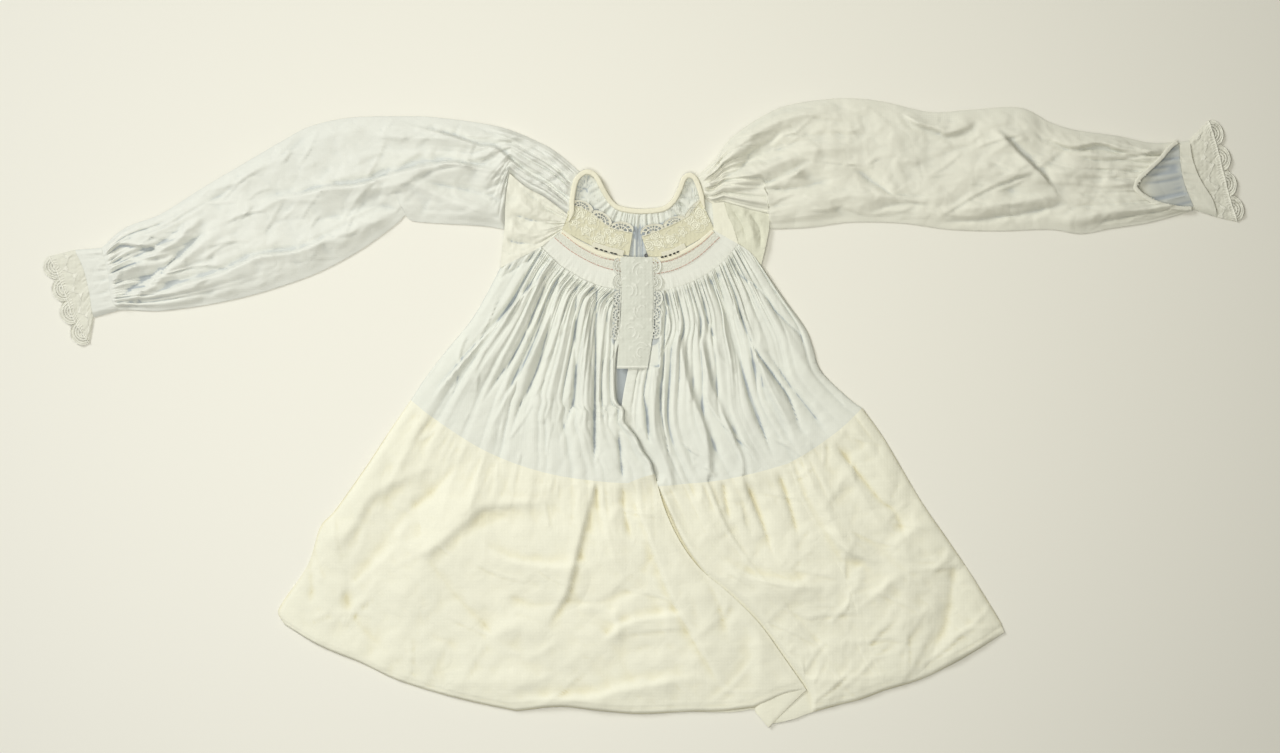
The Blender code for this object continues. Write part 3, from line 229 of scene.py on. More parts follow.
SLEEVE_LEFT_FOLDS = [
    ("trough", 5, 3.4, [(-96, 318), (-129, 354), (-150, 370), (-199, 388), (-255, 407)]),
    ("lap", 11, 4.4, [(-120, 316), (-157, 330), (-206, 368), (-227, 371), (-283, 389), (-339, 404)]),
    ("ridge", 9, 3.2, [(-100, 330), (-125, 356), (-165, 383), (-230, 400)]),
    ("trough", 6, 3.4, [(-104, 300), (-143, 327), (-171, 340), (-192, 357)]),
    ("ridge", 8, 3.0, [(-276, 381), (-311, 384), (-339, 386), (-388, 391)]),
    ("lap", 15, 6.0, [(-199, 333), (-213, 337), (-241, 343), (-269, 347), (-311, 340), (-353, 330),
        (-395, 316), (-437, 312), (-479, 302), (-507, 298), (-556, 290)]),
    ("trough", 7, 3.6, [(-192, 291), (-213, 304), (-241, 311), (-269, 316), (-311, 325)]),
    ("ridge", 11, 4.6, [(-199, 270), (-241, 287), (-269, 298), (-297, 309), (-323, 321), (-339, 319),
        (-367, 314), (-416, 304)]),
    ("lap", 13, 5.4, [(-437, 242), (-479, 225), (-535, 217), (-549, 211), (-577, 197), (-598, 189),
        (-619, 183), (-647, 175), (-690, 160), (-731, 149)]),
    ("trough", 6, 4.4, [(-733, 158), (-710, 178), (-690, 190), (-655, 214), (-620, 247), (-598, 263)]),
    ("ridge", 8, 4.6, [(-735, 150), (-690, 172), (-655, 203), (-615, 236), (-575, 262)]),
    ("ridge", 7, 4.0, [(-745, 188), (-710, 204), (-668, 228), (-630, 258), (-600, 290)]),
    ("trough", 5, 3.2, [(-750, 208), (-710, 218), (-665, 244), (-630, 275)]),
    ("lap", 8, 4.0, [(-752, 222), (-731, 237), (-703, 235), (-658, 231)]),
    ("ridge", 10, 3.2, [(-484, 372), (-510, 358), (-545, 340), (-590, 308)]),
    ("trough", 7, 3.0, [(-470, 392), (-490, 370), (-530, 348)]),
    ("trough", 8, 2.6, [(-560, 340), (-580, 310), (-620, 292)]),
    ("ridge", 12, 3.0, [(-345, 276), (-400, 256), (-450, 238), (-500, 222)]),
    ("trough", 8, 2.6, [(-330, 280), (-370, 290), (-430, 276), (-480, 262)]),
]
SLEEVE_RIGHT_FOLDS = [
    ("trough", 6, 4.8, [(90, 305), (108, 326), (136, 340), (150, 357), (181, 381), (199, 403)]),
    ("ridge", 10, 4.6, [(84, 322), (116, 352), (150, 384), (206, 414), (280, 428)]),
    ("ridge", 11, 4.8, [(104, 312), (150, 330), (196, 352), (240, 366), (320, 372)]),
    ("trough", 5, 2.8, [(110, 303), (136, 311), (206, 314), (234, 318), (255, 325), (283, 328)]),
    ("lap", 12, 4.0, [(227, 343), (220, 337), (192, 323), (157, 312)]),
    ("ridge", 13, 4.6, [(180, 290), (240, 296), (300, 304), (380, 300), (460, 300)]),
    ("trough", 7, 4.2, [(290, 342), (304, 336), (318, 326), (339, 312), (353, 305), (416, 302)]),
    ("lap", 14, 5.2, [(573, 312), (563, 322), (542, 343), (514, 371), (486, 400)]),
    ("lap", 12, 4.0, [(360, 425), (381, 407), (416, 396), (423, 391), (451, 399), (465, 413)]),
    ("trough", 6, 4.6, [(416, 267), (472, 269), (500, 274), (528, 277), (570, 287), (610, 296)]),
    ("ridge", 9, 3.4, [(430, 284), (480, 288), (540, 298), (600, 304)]),
    ("ridge", 15, 4.2, [(430, 350), (500, 336), (560, 334), (640, 344), (690, 340)]),
    ("lap", 9, 4.4, [(560, 386), (600, 372), (640, 378), (690, 362), (740, 374)]),
    ("trough", 5, 3.4, [(600, 360), (640, 352), (680, 356), (710, 364)]),
    ("ridge", 8, 3.8, [(600, 270), (650, 280), (700, 284), (760, 290)]),
    ("trough", 5, 3.0, [(620, 262), (660, 270), (700, 278), (745, 284)]),
    ("ridge", 8, 3.0, [(640, 330), (660, 322), (690, 312)]),
    ("trough", 9, 3.0, [(318, 280), (360, 292), (416, 287)]),
]
SHOULDER_LEFT_FOLDS = [
    ("ridge", 8, 4.0, [(-128, 262), (-155, 282), (-182, 310)]),
    ("trough", 5, 3.0, [(-118, 262), (-148, 268), (-190, 280)]),
    ("ridge", 7, 3.0, [(-140, 246), (-168, 252), (-192, 268)]),
    ("trough", 4, 2.6, [(-116, 274), (-148, 298), (-178, 320)]),
    ("trough", 4, 2.2, [(-150, 236), (-175, 238), (-195, 244)]),
    ("ridge", 7, 2.4, [(-150, 228), (-175, 222), (-196, 216)]),
]
GUSSET_FOLDS = [
    ("trough", 4, 2.6, [(126, 284), (140, 262), (146, 236)]),
    ("ridge", 7, 3.0, [(136, 286), (152, 258), (158, 222)]),
    ("trough", 4, 2.2, [(150, 280), (164, 256), (165, 224)]),
]


# ---------------------------------------------------------------- plan curves and grids
def smooth_path(points, pieces):
    """A Catmull-Rom curve through the points, cut into equal lengths."""
    pts = np.array(points, float)
    if len(pts) == 2:
        steps = np.linspace(0.0, 1.0, pieces + 1)[:, None]
        return pts[0] * (1 - steps) + pts[1] * steps
    ends = np.vstack([2 * pts[0] - pts[1], pts, 2 * pts[-1] - pts[-2]])
    fine = []
    for i in range(1, len(ends) - 2):
        p0, p1, p2, p3 = ends[i - 1:i + 3]
        t = np.linspace(0.0, 1.0, 16, endpoint=False)[:, None]
        fine.append(0.5 * (2 * p1 + (p2 - p0) * t + (2 * p0 - 5 * p1 + 4 * p2 - p3) * t * t
                           + (3 * p1 - p0 - 3 * p2 + p3) * t ** 3))
    fine = np.vstack(fine + [pts[-1:]])
    run = np.concatenate([[0.0], np.cumsum(np.linalg.norm(np.diff(fine, axis=0), axis=1))])
    at = np.linspace(0.0, run[-1], pieces + 1)
    return np.column_stack([np.interp(at, run, fine[:, 0]), np.interp(at, run, fine[:, 1])])


def join(*paths):
    """One boundary made of several paths, each given as (points, pieces), with corners kept."""
    parts = [smooth_path(points, pieces) for points, pieces in paths]
    return np.vstack([parts[0]] + [part[1:] for part in parts[1:]])


def coons(top, foot, left, right):
    """The plan grid spanned by four boundaries: rows run from top to foot, columns from left to right."""
    s = np.linspace(0.0, 1.0, len(top))[None, :, None]
    t = np.linspace(0.0, 1.0, len(left))[:, None, None]
    across = (1 - t) * top[None] + t * foot[None]
    down = (1 - s) * left[:, None] + s * right[:, None]
    corners = (1 - s) * (1 - t) * top[0] + s * (1 - t) * top[-1] + (1 - s) * t * foot[0] + s * t * foot[-1]
    return across + down - corners


def resample(line, pieces):
    """A broken line cut again into equal shares of its point numbers."""
    at = np.linspace(0, len(line) - 1, pieces + 1)
    base = np.arange(len(line))
    return np.column_stack([np.interp(at, base, line[:, 0]), np.interp(at, base, line[:, 1])])


def shares(grid):
    """Column and row shares from 0 to 1 for each point of a grid."""
    rows, cols = grid.shape[:2]
    s = np.broadcast_to(np.linspace(0, 1, cols)[None, :], (rows, cols))
    t = np.broadcast_to(np.linspace(0, 1, rows)[:, None], (rows, cols))
    return s, t


# ---------------------------------------------------------------- height fields
def ease(x):
    """A soft step: 0 below 0, 1 above 1, level at both ends."""
    x = np.clip(x, 0.0, 1.0)
    return x * x * (3 - 2 * x)


def noise(x, y, seed=0):
    """Smooth gradient noise, about -0.7 to 0.7, the same on every run."""
    ix, iy = np.floor(x), np.floor(y)
    fx, fy = x - ix, y - iy

    def corner(dx, dy):
        turn = np.sin((ix + dx) * 127.1 + (iy + dy) * 311.7 + seed * 74.7) * HASH_SCALE
        angle = (turn - np.floor(turn)) * 2 * np.pi
        return np.cos(angle) * (fx - dx) + np.sin(angle) * (fy - dy)

    u = fx ** 3 * (fx * (fx * 6 - 15) + 10)
    v = fy ** 3 * (fy * (fy * 6 - 15) + 10)
    low = corner(0, 0) * (1 - u) + corner(1, 0) * u
    high = corner(0, 1) * (1 - u) + corner(1, 1) * u
    return low * (1 - v) + high * v


def crumple(x, y, size, seed):
    """Soft creased cloth: rounded hills that meet in sharper lines, -0.5 to 0.5."""
    wx = x / size + 0.6 * noise(x / size * 0.7, y / size * 0.7, seed + 11)
    wy = y / size + 0.6 * noise(x / size * 0.7 + 9.2, y / size * 0.7, seed + 12)
    big = np.abs(noise(wx, wy, seed)) ** 0.8
    small = np.abs(noise(wx * 2.1 + 3.1, wy * 2.1, seed + 5)) ** 0.8
    return big * 1.2 + small * 0.5 - 0.55


def creases(x, y, size, seed):
    """Pressed cloth: broad hollows that meet in sharp crests, -0.5 to 0.5."""
    bent = x / size + 0.5 * noise(x / size, y / size, seed + 8)
    return 0.7 - 1.5 * np.abs(noise(bent, y / size, seed)) ** 0.75


def rumple(x, y, size, seed):
    """Thin cotton after wear: flat facets that meet in sharp lines at two sizes, 0 to about 1."""
    wx = x / size + 0.35 * noise(x / size * 1.7, y / size * 1.7, seed + 2)
    wy = y / size + 0.35 * noise(x / size * 1.7 + 4, y / size * 1.7, seed + 3)
    return np.abs(noise(wx, wy, seed)) + 0.36 * np.abs(noise(wx * 2.7, wy * 2.7, seed + 1))


def turn_of(seed, k):
    """Four fixed values from 0 to 1 that look unordered."""
    raw = np.sin(np.array([12.9, 78.2, 37.7, 93.9]) * (k + 1) + seed * 4.1) * HASH_SCALE
    return raw - np.floor(raw)


def pleats(share, down, span, count, seed, depth=3.0, width=1.6, reach=16.0, long_reach=110.0):
    """Gathers: a valley beside a rounded crest each, starting on the seam and dying out at its own length."""
    total = np.zeros(np.broadcast(share, down).shape)
    for k in range(count):
        a, b, c, d = turn_of(seed, k)
        length = reach + 3.2 * reach * a * a + (long_reach * (0.5 + c) if b > 0.5 else 0.0)
        centre = (k + 0.5 + 0.7 * (c - 0.5) + 0.16 * np.sin(down / (40 + 50 * d) + 6.3 * a)) / count
        off = (share - centre) * span
        wide = width * (0.7 + 0.6 * d) * (1 + down / 100)
        lean = 1 if a > 0.5 else -1
        fade = (0.55 + 0.8 * d) * np.exp(-(down / length) ** 2) * (0.3 + 0.7 * ease(down / 9))
        valley = np.exp(-(np.abs(off) / wide) ** 1.15)
        crest = np.exp(-((off * lean / wide - 2.6) / 1.6) ** 2)
        total += depth * fade * (0.45 * crest - valley)
    return total


def painted_fold_shade(z, scale=1.0):
    """How far each point lies below its near and wider neighbours, from 0 to 1: the strength of the painted
    shade in the folds.
    """
    found = np.zeros_like(z)
    soft = z
    for passes, depth in ((5, 1.3), (22, 2.6)):
        soft = np.pad(soft, passes, mode="edge")
        for _ in range(passes):
            soft = (soft[:-2, 1:-1] + soft[2:, 1:-1] + soft[1:-1, :-2] + soft[1:-1, 2:]
                    + soft[1:-1, 1:-1]) / 5
        found = np.maximum(found, (soft - z) / (depth * scale))
    return np.clip(found, 0, 1) ** 1.35


def streaks(s, t, count, seed, drift=2.2):
    """Gathers that run down the rows: rounded pleats with narrow valleys, -0.5 to 0.5."""
    bend = 0.7 * noise(s * count * 0.23, t * drift, seed + 3)
    first = np.abs(noise(s * count + bend, t * drift * 0.6, seed)) ** 0.6
    second = np.abs(noise(s * count * 2.3 + bend, t * drift, seed + 1)) ** 0.6
    return first * 1.1 + second * 0.45 - 0.62


def near_path(points, path, pieces=28):
    """Signed distance of each plan point to a smooth path (positive on its left), and the share along it."""
    line = smooth_path(path, pieces)
    start, step = line[:-1], np.diff(line, axis=0)
    flat = points.reshape(-1, 2)
    gap = np.full(len(flat), 1e9)
    along = np.zeros(len(flat))
    side = np.ones(len(flat))
    for k in range(len(step)):
        rel = flat - start[k]
        t = np.clip((rel @ step[k]) / (step[k] @ step[k]), 0.0, 1.0)
        d = np.hypot(rel[:, 0] - t * step[k, 0], rel[:, 1] - t * step[k, 1])
        closer = d < gap
        gap = np.where(closer, d, gap)
        along = np.where(closer, (k + t) / len(step), along)
        side = np.where(closer, np.sign(step[k, 0] * rel[:, 1] - step[k, 1] * rel[:, 0]), side)
    shape = points.shape[:-1]
    return (gap * side).reshape(shape), along.reshape(shape)


def crinkles(grid, count, seed, angle, spread, size=1.0, height=1.3):
    """Short sharp creases lying mostly along one angle, as cotton shows after folding."""
    rows, cols = grid.shape[:2]
    folds = []
    for k in range(count):
        a, b, c, d = turn_of(seed, k)
        e, f, g, h = turn_of(seed + 17, k)
        middle = grid[int(a * (rows - 1)), int(b * (cols - 1))]
        turn = angle + spread * (c + e - 1.0)
        half = size * (12 + 36 * d * d)
        ahead = np.array([math.cos(turn), math.sin(turn)]) * half
        bow = np.array([-ahead[1], ahead[0]]) * 0.35 * (f - 0.5)
        kind = ("trough", "lap", "ridge", "lap")[int(g * 4)]
        folds.append((kind, size * (2.0 + 4.0 * h), height * (0.5 + 1.0 * e),
                      [tuple(middle - ahead), tuple(middle + bow), tuple(middle + ahead)]))
    return folded(grid, folds, 0.0, 7)


def under_lap(grid, edge, z):
    """Keep a layer low where another one lies over it, up to an edge that runs down the garment."""
    d = near_path(grid, edge)[0]
    return np.minimum(z, 3.0 + 2.6 * ease((d + 1) / 9) + 14 * ease(d / 40))


def painted_lace_shadow(grid, *borders):
    """1 where scalloped lace lies over this layer, giving the strength of the painted shadow it casts; each
    border is (path, side).
    """
    shade = np.zeros(grid.shape[:2])
    for path, side in borders:
        d = near_path(grid, path)[0] * side
        shade = np.maximum(shade, ease(d / 2) * ease((12 - d) / 3))
    return shade


def hem_relief(grid):
    """A turned hem: a doubled band at the foot with a shallow stitched groove above it."""
    up = run_down(grid[::-1])[::-1]
    return 0.5 * ease((HEM_WIDTH - up) / 2) - 0.5 * np.exp(-((up - HEM_WIDTH) / 1.3) ** 2)


def folded(points, folds, start=0.5, pieces=28):
    """Sum of all folds at each plan point, in millimetres; each begins with the start share of its height."""
    total = np.zeros(points.shape[:-1])
    for kind, width, height, path in folds:
        box = np.array(path, float)
        low, high = box.min(0) - 4 * width, box.max(0) + 4 * width
        inside = ((points >= low) & (points <= high)).all(-1)
        if not inside.any():
            continue
        d, along = near_path(points[inside], path, pieces)
        wander = 1 + 0.25 * noise(along * 5 + width, along * 0 + height, 3)
        fade = ease(along / 0.18) * (1 - start) + start
        fade = fade * ease((1 - along) / 0.3)
        a = np.abs(d) / (width * wander)
        if kind == "ridge":
            shape = np.exp(-a ** 1.5)
        elif kind == "trough":
            shape = -np.exp(-a ** 1.1)
        elif kind == "lap":
            drop = np.exp(-(a * 3.4) ** 2) - 0.28 * np.exp(-((a - 0.62) / 0.4) ** 2)
            shape = np.where(d > 0, np.exp(-a ** 1.2), drop)
        else:
            drop = np.exp(-(d / 4.4) ** 2) - 0.16 * np.exp(-((np.abs(d) - 10) / 6) ** 2)
            shape = np.where(d > 0, np.exp(-a ** 1.2), drop)
        total[inside] += height * fade * shape
    return total


# ---------------------------------------------------------------- meshes
def link(name, mesh):
    """A new object of this mesh in the scene."""
    obj = bpy.data.objects.new(name, mesh)
    bpy.context.scene.collection.objects.link(obj)
    return obj


def only(obj):
    """Deselect everything, then select and activate one object."""
    bpy.ops.object.select_all(action="DESELECT")
    obj.select_set(True)
    bpy.context.view_layer.objects.active = obj


def apply_all(obj):
    """Apply every modifier of one object."""
    only(obj)
    for modifier in list(obj.modifiers):
        bpy.ops.object.modifier_apply(modifier=modifier.name)


def surface(name, points, keep=None, thickness=0.6, closed=False, flip=False, extra=None):
    """A cloth wall from a grid of points in millimetres.

    keep marks the cells that stay, closed joins the last row to the first, flip turns the faces round, and
    extra holds point attributes by name.
    """
    rows, cols = points.shape[:2]
    number = np.arange(rows * cols).reshape(rows, cols)
    if closed:
        number = np.vstack([number, number[:1]])
    a, b = number[:-1, :-1], number[1:, :-1]
    c, d = number[1:, 1:], number[:-1, 1:]
    quads = np.stack([a, b, c, d], axis=-1).reshape(-1, 4)
    if keep is not None:
        quads = quads[keep.reshape(-1)]
    if flip:
        quads = quads[:, ::-1]
    used, quads = np.unique(quads, return_inverse=True)
    quads = quads.reshape(-1, 4)
    flat = points.reshape(-1, 3)[used] * MM
    mesh = bpy.data.meshes.new(name)
    mesh.vertices.add(len(flat))
    mesh.vertices.foreach_set("co", flat.astype(np.float32).ravel())
    mesh.loops.add(quads.size)
    mesh.loops.foreach_set("vertex_index", quads.astype(np.int32).ravel())
    mesh.polygons.add(len(quads))
    mesh.polygons.foreach_set("loop_start", np.arange(0, quads.size, 4, dtype=np.int32))
    mesh.update(calc_edges=True)
    for key, values in (extra or {}).items():
        layer = mesh.attributes.new(key, "FLOAT", "POINT")
        layer.data.foreach_set("value", np.ascontiguousarray(values.reshape(-1)[used], np.float32))
    across = np.linalg.norm(np.diff(points, axis=1), axis=2).mean()
    down = np.linalg.norm(np.diff(points, axis=0), axis=2).mean()
    grid_u, grid_v = np.meshgrid(np.arange(cols) * across * MM, np.arange(rows) * down * MM)
    layer = mesh.uv_layers.new(name="UVMap")
    uv = np.stack([grid_u, grid_v], -1).reshape(-1, 2)[used]
    layer.data.foreach_set("uv", uv[quads.ravel()].astype(np.float32).ravel())
    mesh.validate()
    obj = link(name, mesh)
    if thickness:
        wall = obj.modifiers.new("wall", "SOLIDIFY")
        wall.thickness = thickness * MM
        wall.offset = -1.0
        wall.use_even_offset = False
        apply_all(obj)
    only(obj)
    bpy.ops.object.shade_smooth_by_angle(angle=SMOOTH_ANGLE)
    return obj


def raised(grid, z):
    """Plan points with their heights."""
    return np.concatenate([grid, z[..., None]], axis=-1)


def ribbon(name, path, width, z, height=1.2, steps=7, crown=0.8, ripple=0.0, seed=0):
    """A narrow strip with a soft crowned top along a path; its width and z may vary along it."""
    line = np.array(path)
    ahead = np.gradient(line, axis=0)
    ahead /= np.linalg.norm(ahead, axis=1)[:, None]
    side = np.column_stack([-ahead[:, 1], ahead[:, 0]])
    side = side * np.broadcast_to(width, len(line))[:, None] / 2
    z = np.broadcast_to(z, len(line)).astype(float)
    run = np.concatenate([[0.0], np.cumsum(np.linalg.norm(np.diff(line, axis=0), axis=1))])
    rings = []
    for k in range(steps + 1):
        share = -1 + 2 * k / steps
        bulge = np.sqrt(max(0.0, 1 - share ** 4)) * crown
        wave = ripple * noise(run / 4.0, np.full(len(run), share * 0.8 + seed), seed)
        rings.append(np.column_stack([line + side * share, z + height + bulge - crown + wave]))
    for k in range(steps, -1, -steps):
        share = -1 + 2 * k / steps
        rings.append(np.column_stack([line + side * (share * 0.96), z]))
    obj = surface(name, np.stack(rings), thickness=0, closed=True, flip=True)
    close_ends(obj)
    return obj


def close_ends(obj):
    """Fill the open ends of a tube and turn its faces outwards."""
    bm = bmesh.new()
    bm.from_mesh(obj.data)
    bmesh.ops.holes_fill(bm, edges=bm.edges[:], sides=0)
    bmesh.ops.recalc_face_normals(bm, faces=bm.faces[:])
    bm.to_mesh(obj.data)
    bm.free()


def merged(name, objects):
    """Join several meshes into one object."""
    only(objects[0])
    for obj in objects:
        obj.select_set(True)
    bpy.ops.object.join()
    objects[0].name = name
    return objects[0]


# ---------------------------------------------------------------- materials
def node(tree, kind, **values):
    """A new node; each value sets the input of that name, or else the node's own property."""
    made = tree.nodes.new(kind)
    for key, value in values.items():
        if key in made.inputs:
            made.inputs[key].default_value = value
        else:
            setattr(made, key, value)
    return made


def mix_colour(tree, factor, first, second):
    """The colour between two colours or sockets."""
    mix = tree.nodes.new("ShaderNodeMix")
    mix.data_type = "RGBA"
    for socket, value in ((mix.inputs[0], factor), (mix.inputs[6], first), (mix.inputs[7], second)):
        if isinstance(value, bpy.types.NodeSocket):
            tree.links.new(value, socket)
        elif isinstance(value, (int, float)):
            socket.default_value = value
        else:
            socket.default_value = (*value, 1.0)
    return mix.outputs[2]


def math_node(tree, operation, first, second=None):
    """The result of one sum on numbers or sockets."""
    made = tree.nodes.new("ShaderNodeMath")
    made.operation = operation
    for socket, value in zip(made.inputs, (first, second)):
        if isinstance(value, bpy.types.NodeSocket):
            tree.links.new(value, socket)
        elif value is not None:
            socket.default_value = value
    return made.outputs[0]


def ramp(tree, source, low, high):
    """A socket brought from its low and high marks to 0 and 1, and held there."""
    made = tree.nodes.new("ShaderNodeMapRange")
    made.inputs["From Min"].default_value = low
    made.inputs["From Max"].default_value = high
    tree.links.new(source, made.inputs["Value"])
    return made.outputs["Result"]


def attribute_value(tree, name):
    """The piece's own point attribute of this name."""
    made = tree.nodes.new("ShaderNodeAttribute")
    made.attribute_name = name
    return made.outputs["Fac"]


def blank_material(name):
    """A new material: itself, its node tree, its shader and the Object coordinates."""
    mat = bpy.data.materials.new(name)
    mat.use_nodes = True
    tree = mat.node_tree
    return mat, tree, tree.nodes["Principled BSDF"], tree.nodes.new("ShaderNodeTexCoord").outputs["Object"]


def cloth_material(name, colour, shade, weave=0.55, relief=0.25, motif=None, crease=0.0,
                   deep=(0.33, 0.37, 0.405), low_share=(0.79, 0.81, 0.83)):
    """Woven cloth: crossing threads, slubs, patches of tone, and a stitched motif or painted shade in the
    folds.

    weave is the thread pitch and crease the depth of pressed-in creases, both in millimetres. deep is the
    colour of the painted shade in the deepest folds, and the last argument scales the colour into the painted
    shade of shallower ones.
    """
    found = bpy.data.materials.get(name)
    if found:
        return found
    mat, tree, shader, where = blank_material(name)
    patch = node(tree, "ShaderNodeTexNoise", Scale=9.0, Detail=3.0, Roughness=0.55)
    tree.links.new(where, patch.inputs["Vector"])
    fine = node(tree, "ShaderNodeTexNoise", Scale=160.0, Detail=4.0, Roughness=0.6)
    tree.links.new(where, fine.inputs["Vector"])
    bands = []
    for direction in ("X", "Y"):
        wave = node(tree, "ShaderNodeTexWave", wave_type="BANDS", bands_direction=direction,
                    Scale=THREAD_WAVE / (weave * MM), Distortion=0.6, Detail=1.0)
        wave.inputs["Detail Scale"].default_value = 40.0
        tree.links.new(where, wave.inputs["Vector"])
        bands.append(wave.outputs["Fac"])
    threads = math_node(tree, "MULTIPLY", *bands)
    tone = mix_colour(tree, ramp(tree, patch.outputs["Fac"], 0.3, 0.7), colour, shade)
    grain = ramp(tree, fine.outputs["Fac"], 0.35, 0.75)
    darker = tuple(c * 0.93 for c in shade)
    tone = mix_colour(tree, math_node(tree, "MULTIPLY", grain, 0.175), tone, darker)
    brighter = tuple(min(1, c * 1.06) for c in colour)
    tone = mix_colour(tree, math_node(tree, "MULTIPLY", threads, 0.10), tone, brighter)
    height = math_node(tree, "ADD", threads, math_node(tree, "MULTIPLY", fine.outputs["Fac"], 0.8))
    if motif:
        stitched = ramp(tree, attribute_value(tree, "motif"), 0.25, 0.75)
        tone = mix_colour(tree, stitched, tone, motif)
        height = math_node(tree, "ADD", height, math_node(tree, "MULTIPLY", stitched, 2.5))
    else:
        # Painted shade from the point attribute: darker in shallow folds, turning to the deep colour in the
        # deepest.
        low = attribute_value(tree, "hollow")
        painted_mild_shade = tuple(c * share for c, share in zip(colour, low_share))
        tone = mix_colour(tree, math_node(tree, "MULTIPLY", ramp(tree, low, 0.0, 0.7), 0.8), tone, painted_mild_shade)
        tone = mix_colour(tree, math_node(tree, "MULTIPLY", ramp(tree, low, 0.6, 1.0), 0.85), tone, deep)
    bump = node(tree, "ShaderNodeBump", Strength=relief, Distance=0.0004)
    tree.links.new(height, bump.inputs["Height"])
    if crease:
        layers = []
        for scale, tall in ((11.0, 1.0), (30.0, 0.34)):
            rumple = node(tree, "ShaderNodeTexNoise", Scale=scale, Detail=1.5, Roughness=0.5, Distortion=0.7)
            tree.links.new(where, rumple.inputs["Vector"])
            away = math_node(tree, "ABSOLUTE", math_node(tree, "SUBTRACT", rumple.outputs["Fac"], 0.5))
            layers.append(math_node(tree, "MULTIPLY", away, tall))
        fold = node(tree, "ShaderNodeBump", Strength=1.0, Distance=crease * MM)
        tree.links.new(math_node(tree, "ADD", *layers), fold.inputs["Height"])
        tree.links.new(fold.outputs["Normal"], bump.inputs["Normal"])
    tree.links.new(bump.outputs["Normal"], shader.inputs["Normal"])
    tree.links.new(tone, shader.inputs["Base Color"])
    shader.inputs["Roughness"].default_value = 0.88
    shader.inputs["Sheen Weight"].default_value = 0.15
    shader.inputs["Specular IOR Level"].default_value = 0.2
    return mat


def plain_material(name, colour, roughness, metallic=0.0):
    """Thread or metal: one colour with a fine uneven tone."""
    mat, tree, shader, where = blank_material(name)
    fine = node(tree, "ShaderNodeTexNoise", Scale=420.0, Detail=3.0)
    tree.links.new(where, fine.inputs["Vector"])
    darker, brighter = tuple(c * 0.8 for c in colour), tuple(min(1, c * 1.2) for c in colour)
    tone = mix_colour(tree, fine.outputs["Fac"], darker, brighter)
    tree.links.new(tone, shader.inputs["Base Color"])
    shader.inputs["Roughness"].default_value = roughness
    shader.inputs["Metallic"].default_value = metallic
    return mat


def settings():
    """The sizes and colours a user may change."""
    return bpy.context.scene.folk_shirt


def tinted(key, name, **values):
    """The cloth material of one colour setting; its shaded patches are a little darker and cooler."""
    base = tuple(getattr(settings(), key))
    shade = (base[0] * 0.955, base[1] * 0.96, base[2] * 0.965)
    return cloth_material(name, base, shade, **values)


def white_cloth():
    """Thin cotton of the upper body."""
    return tinted("white", "white_cotton_weave", weave=0.5, crease=3.2)


def sleeve_cloth(side):
    """Thin cotton of a sleeve and its cuff; the right one is yellower."""
    key, name = {"left": ("sleeve", "sleeve_cotton_weave"),
                 "right": ("sleeve_right", "warm_sleeve_cotton_weave")}[side]
    return tinted(key, name, weave=0.5, crease=5.0)


def binding_cloth():
    """Narrow strips at the neck."""
    return tinted("binding", "binding_cotton", weave=0.45)


def eyelet_cloth():
    """Scalloped edging and the tabs at the foot of the neck lace."""
    return tinted("edging", "eyelet_edging_weave", weave=0.6, motif=(0.80, 0.79, 0.68), relief=0.5)


def cream_cloth():
    """Unbleached cotton of the skirt, whose painted shade in the folds is yellow rather than blue."""
    return tinted("cream", "cream_cotton_weave", weave=0.7, deep=(0.62, 0.575, 0.385),
                  low_share=(0.88, 0.85, 0.74), crease=3.5)


def dress(obj, mat, slot, *nodes):
    """Give a finished piece its material, hang it under the root and hide the parts it stands for; slot is
    not used.
    """
    obj.data.materials.clear()
    obj.data.materials.append(mat)
    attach(obj, "root")
    if nodes:
        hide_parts(*nodes)
    return obj


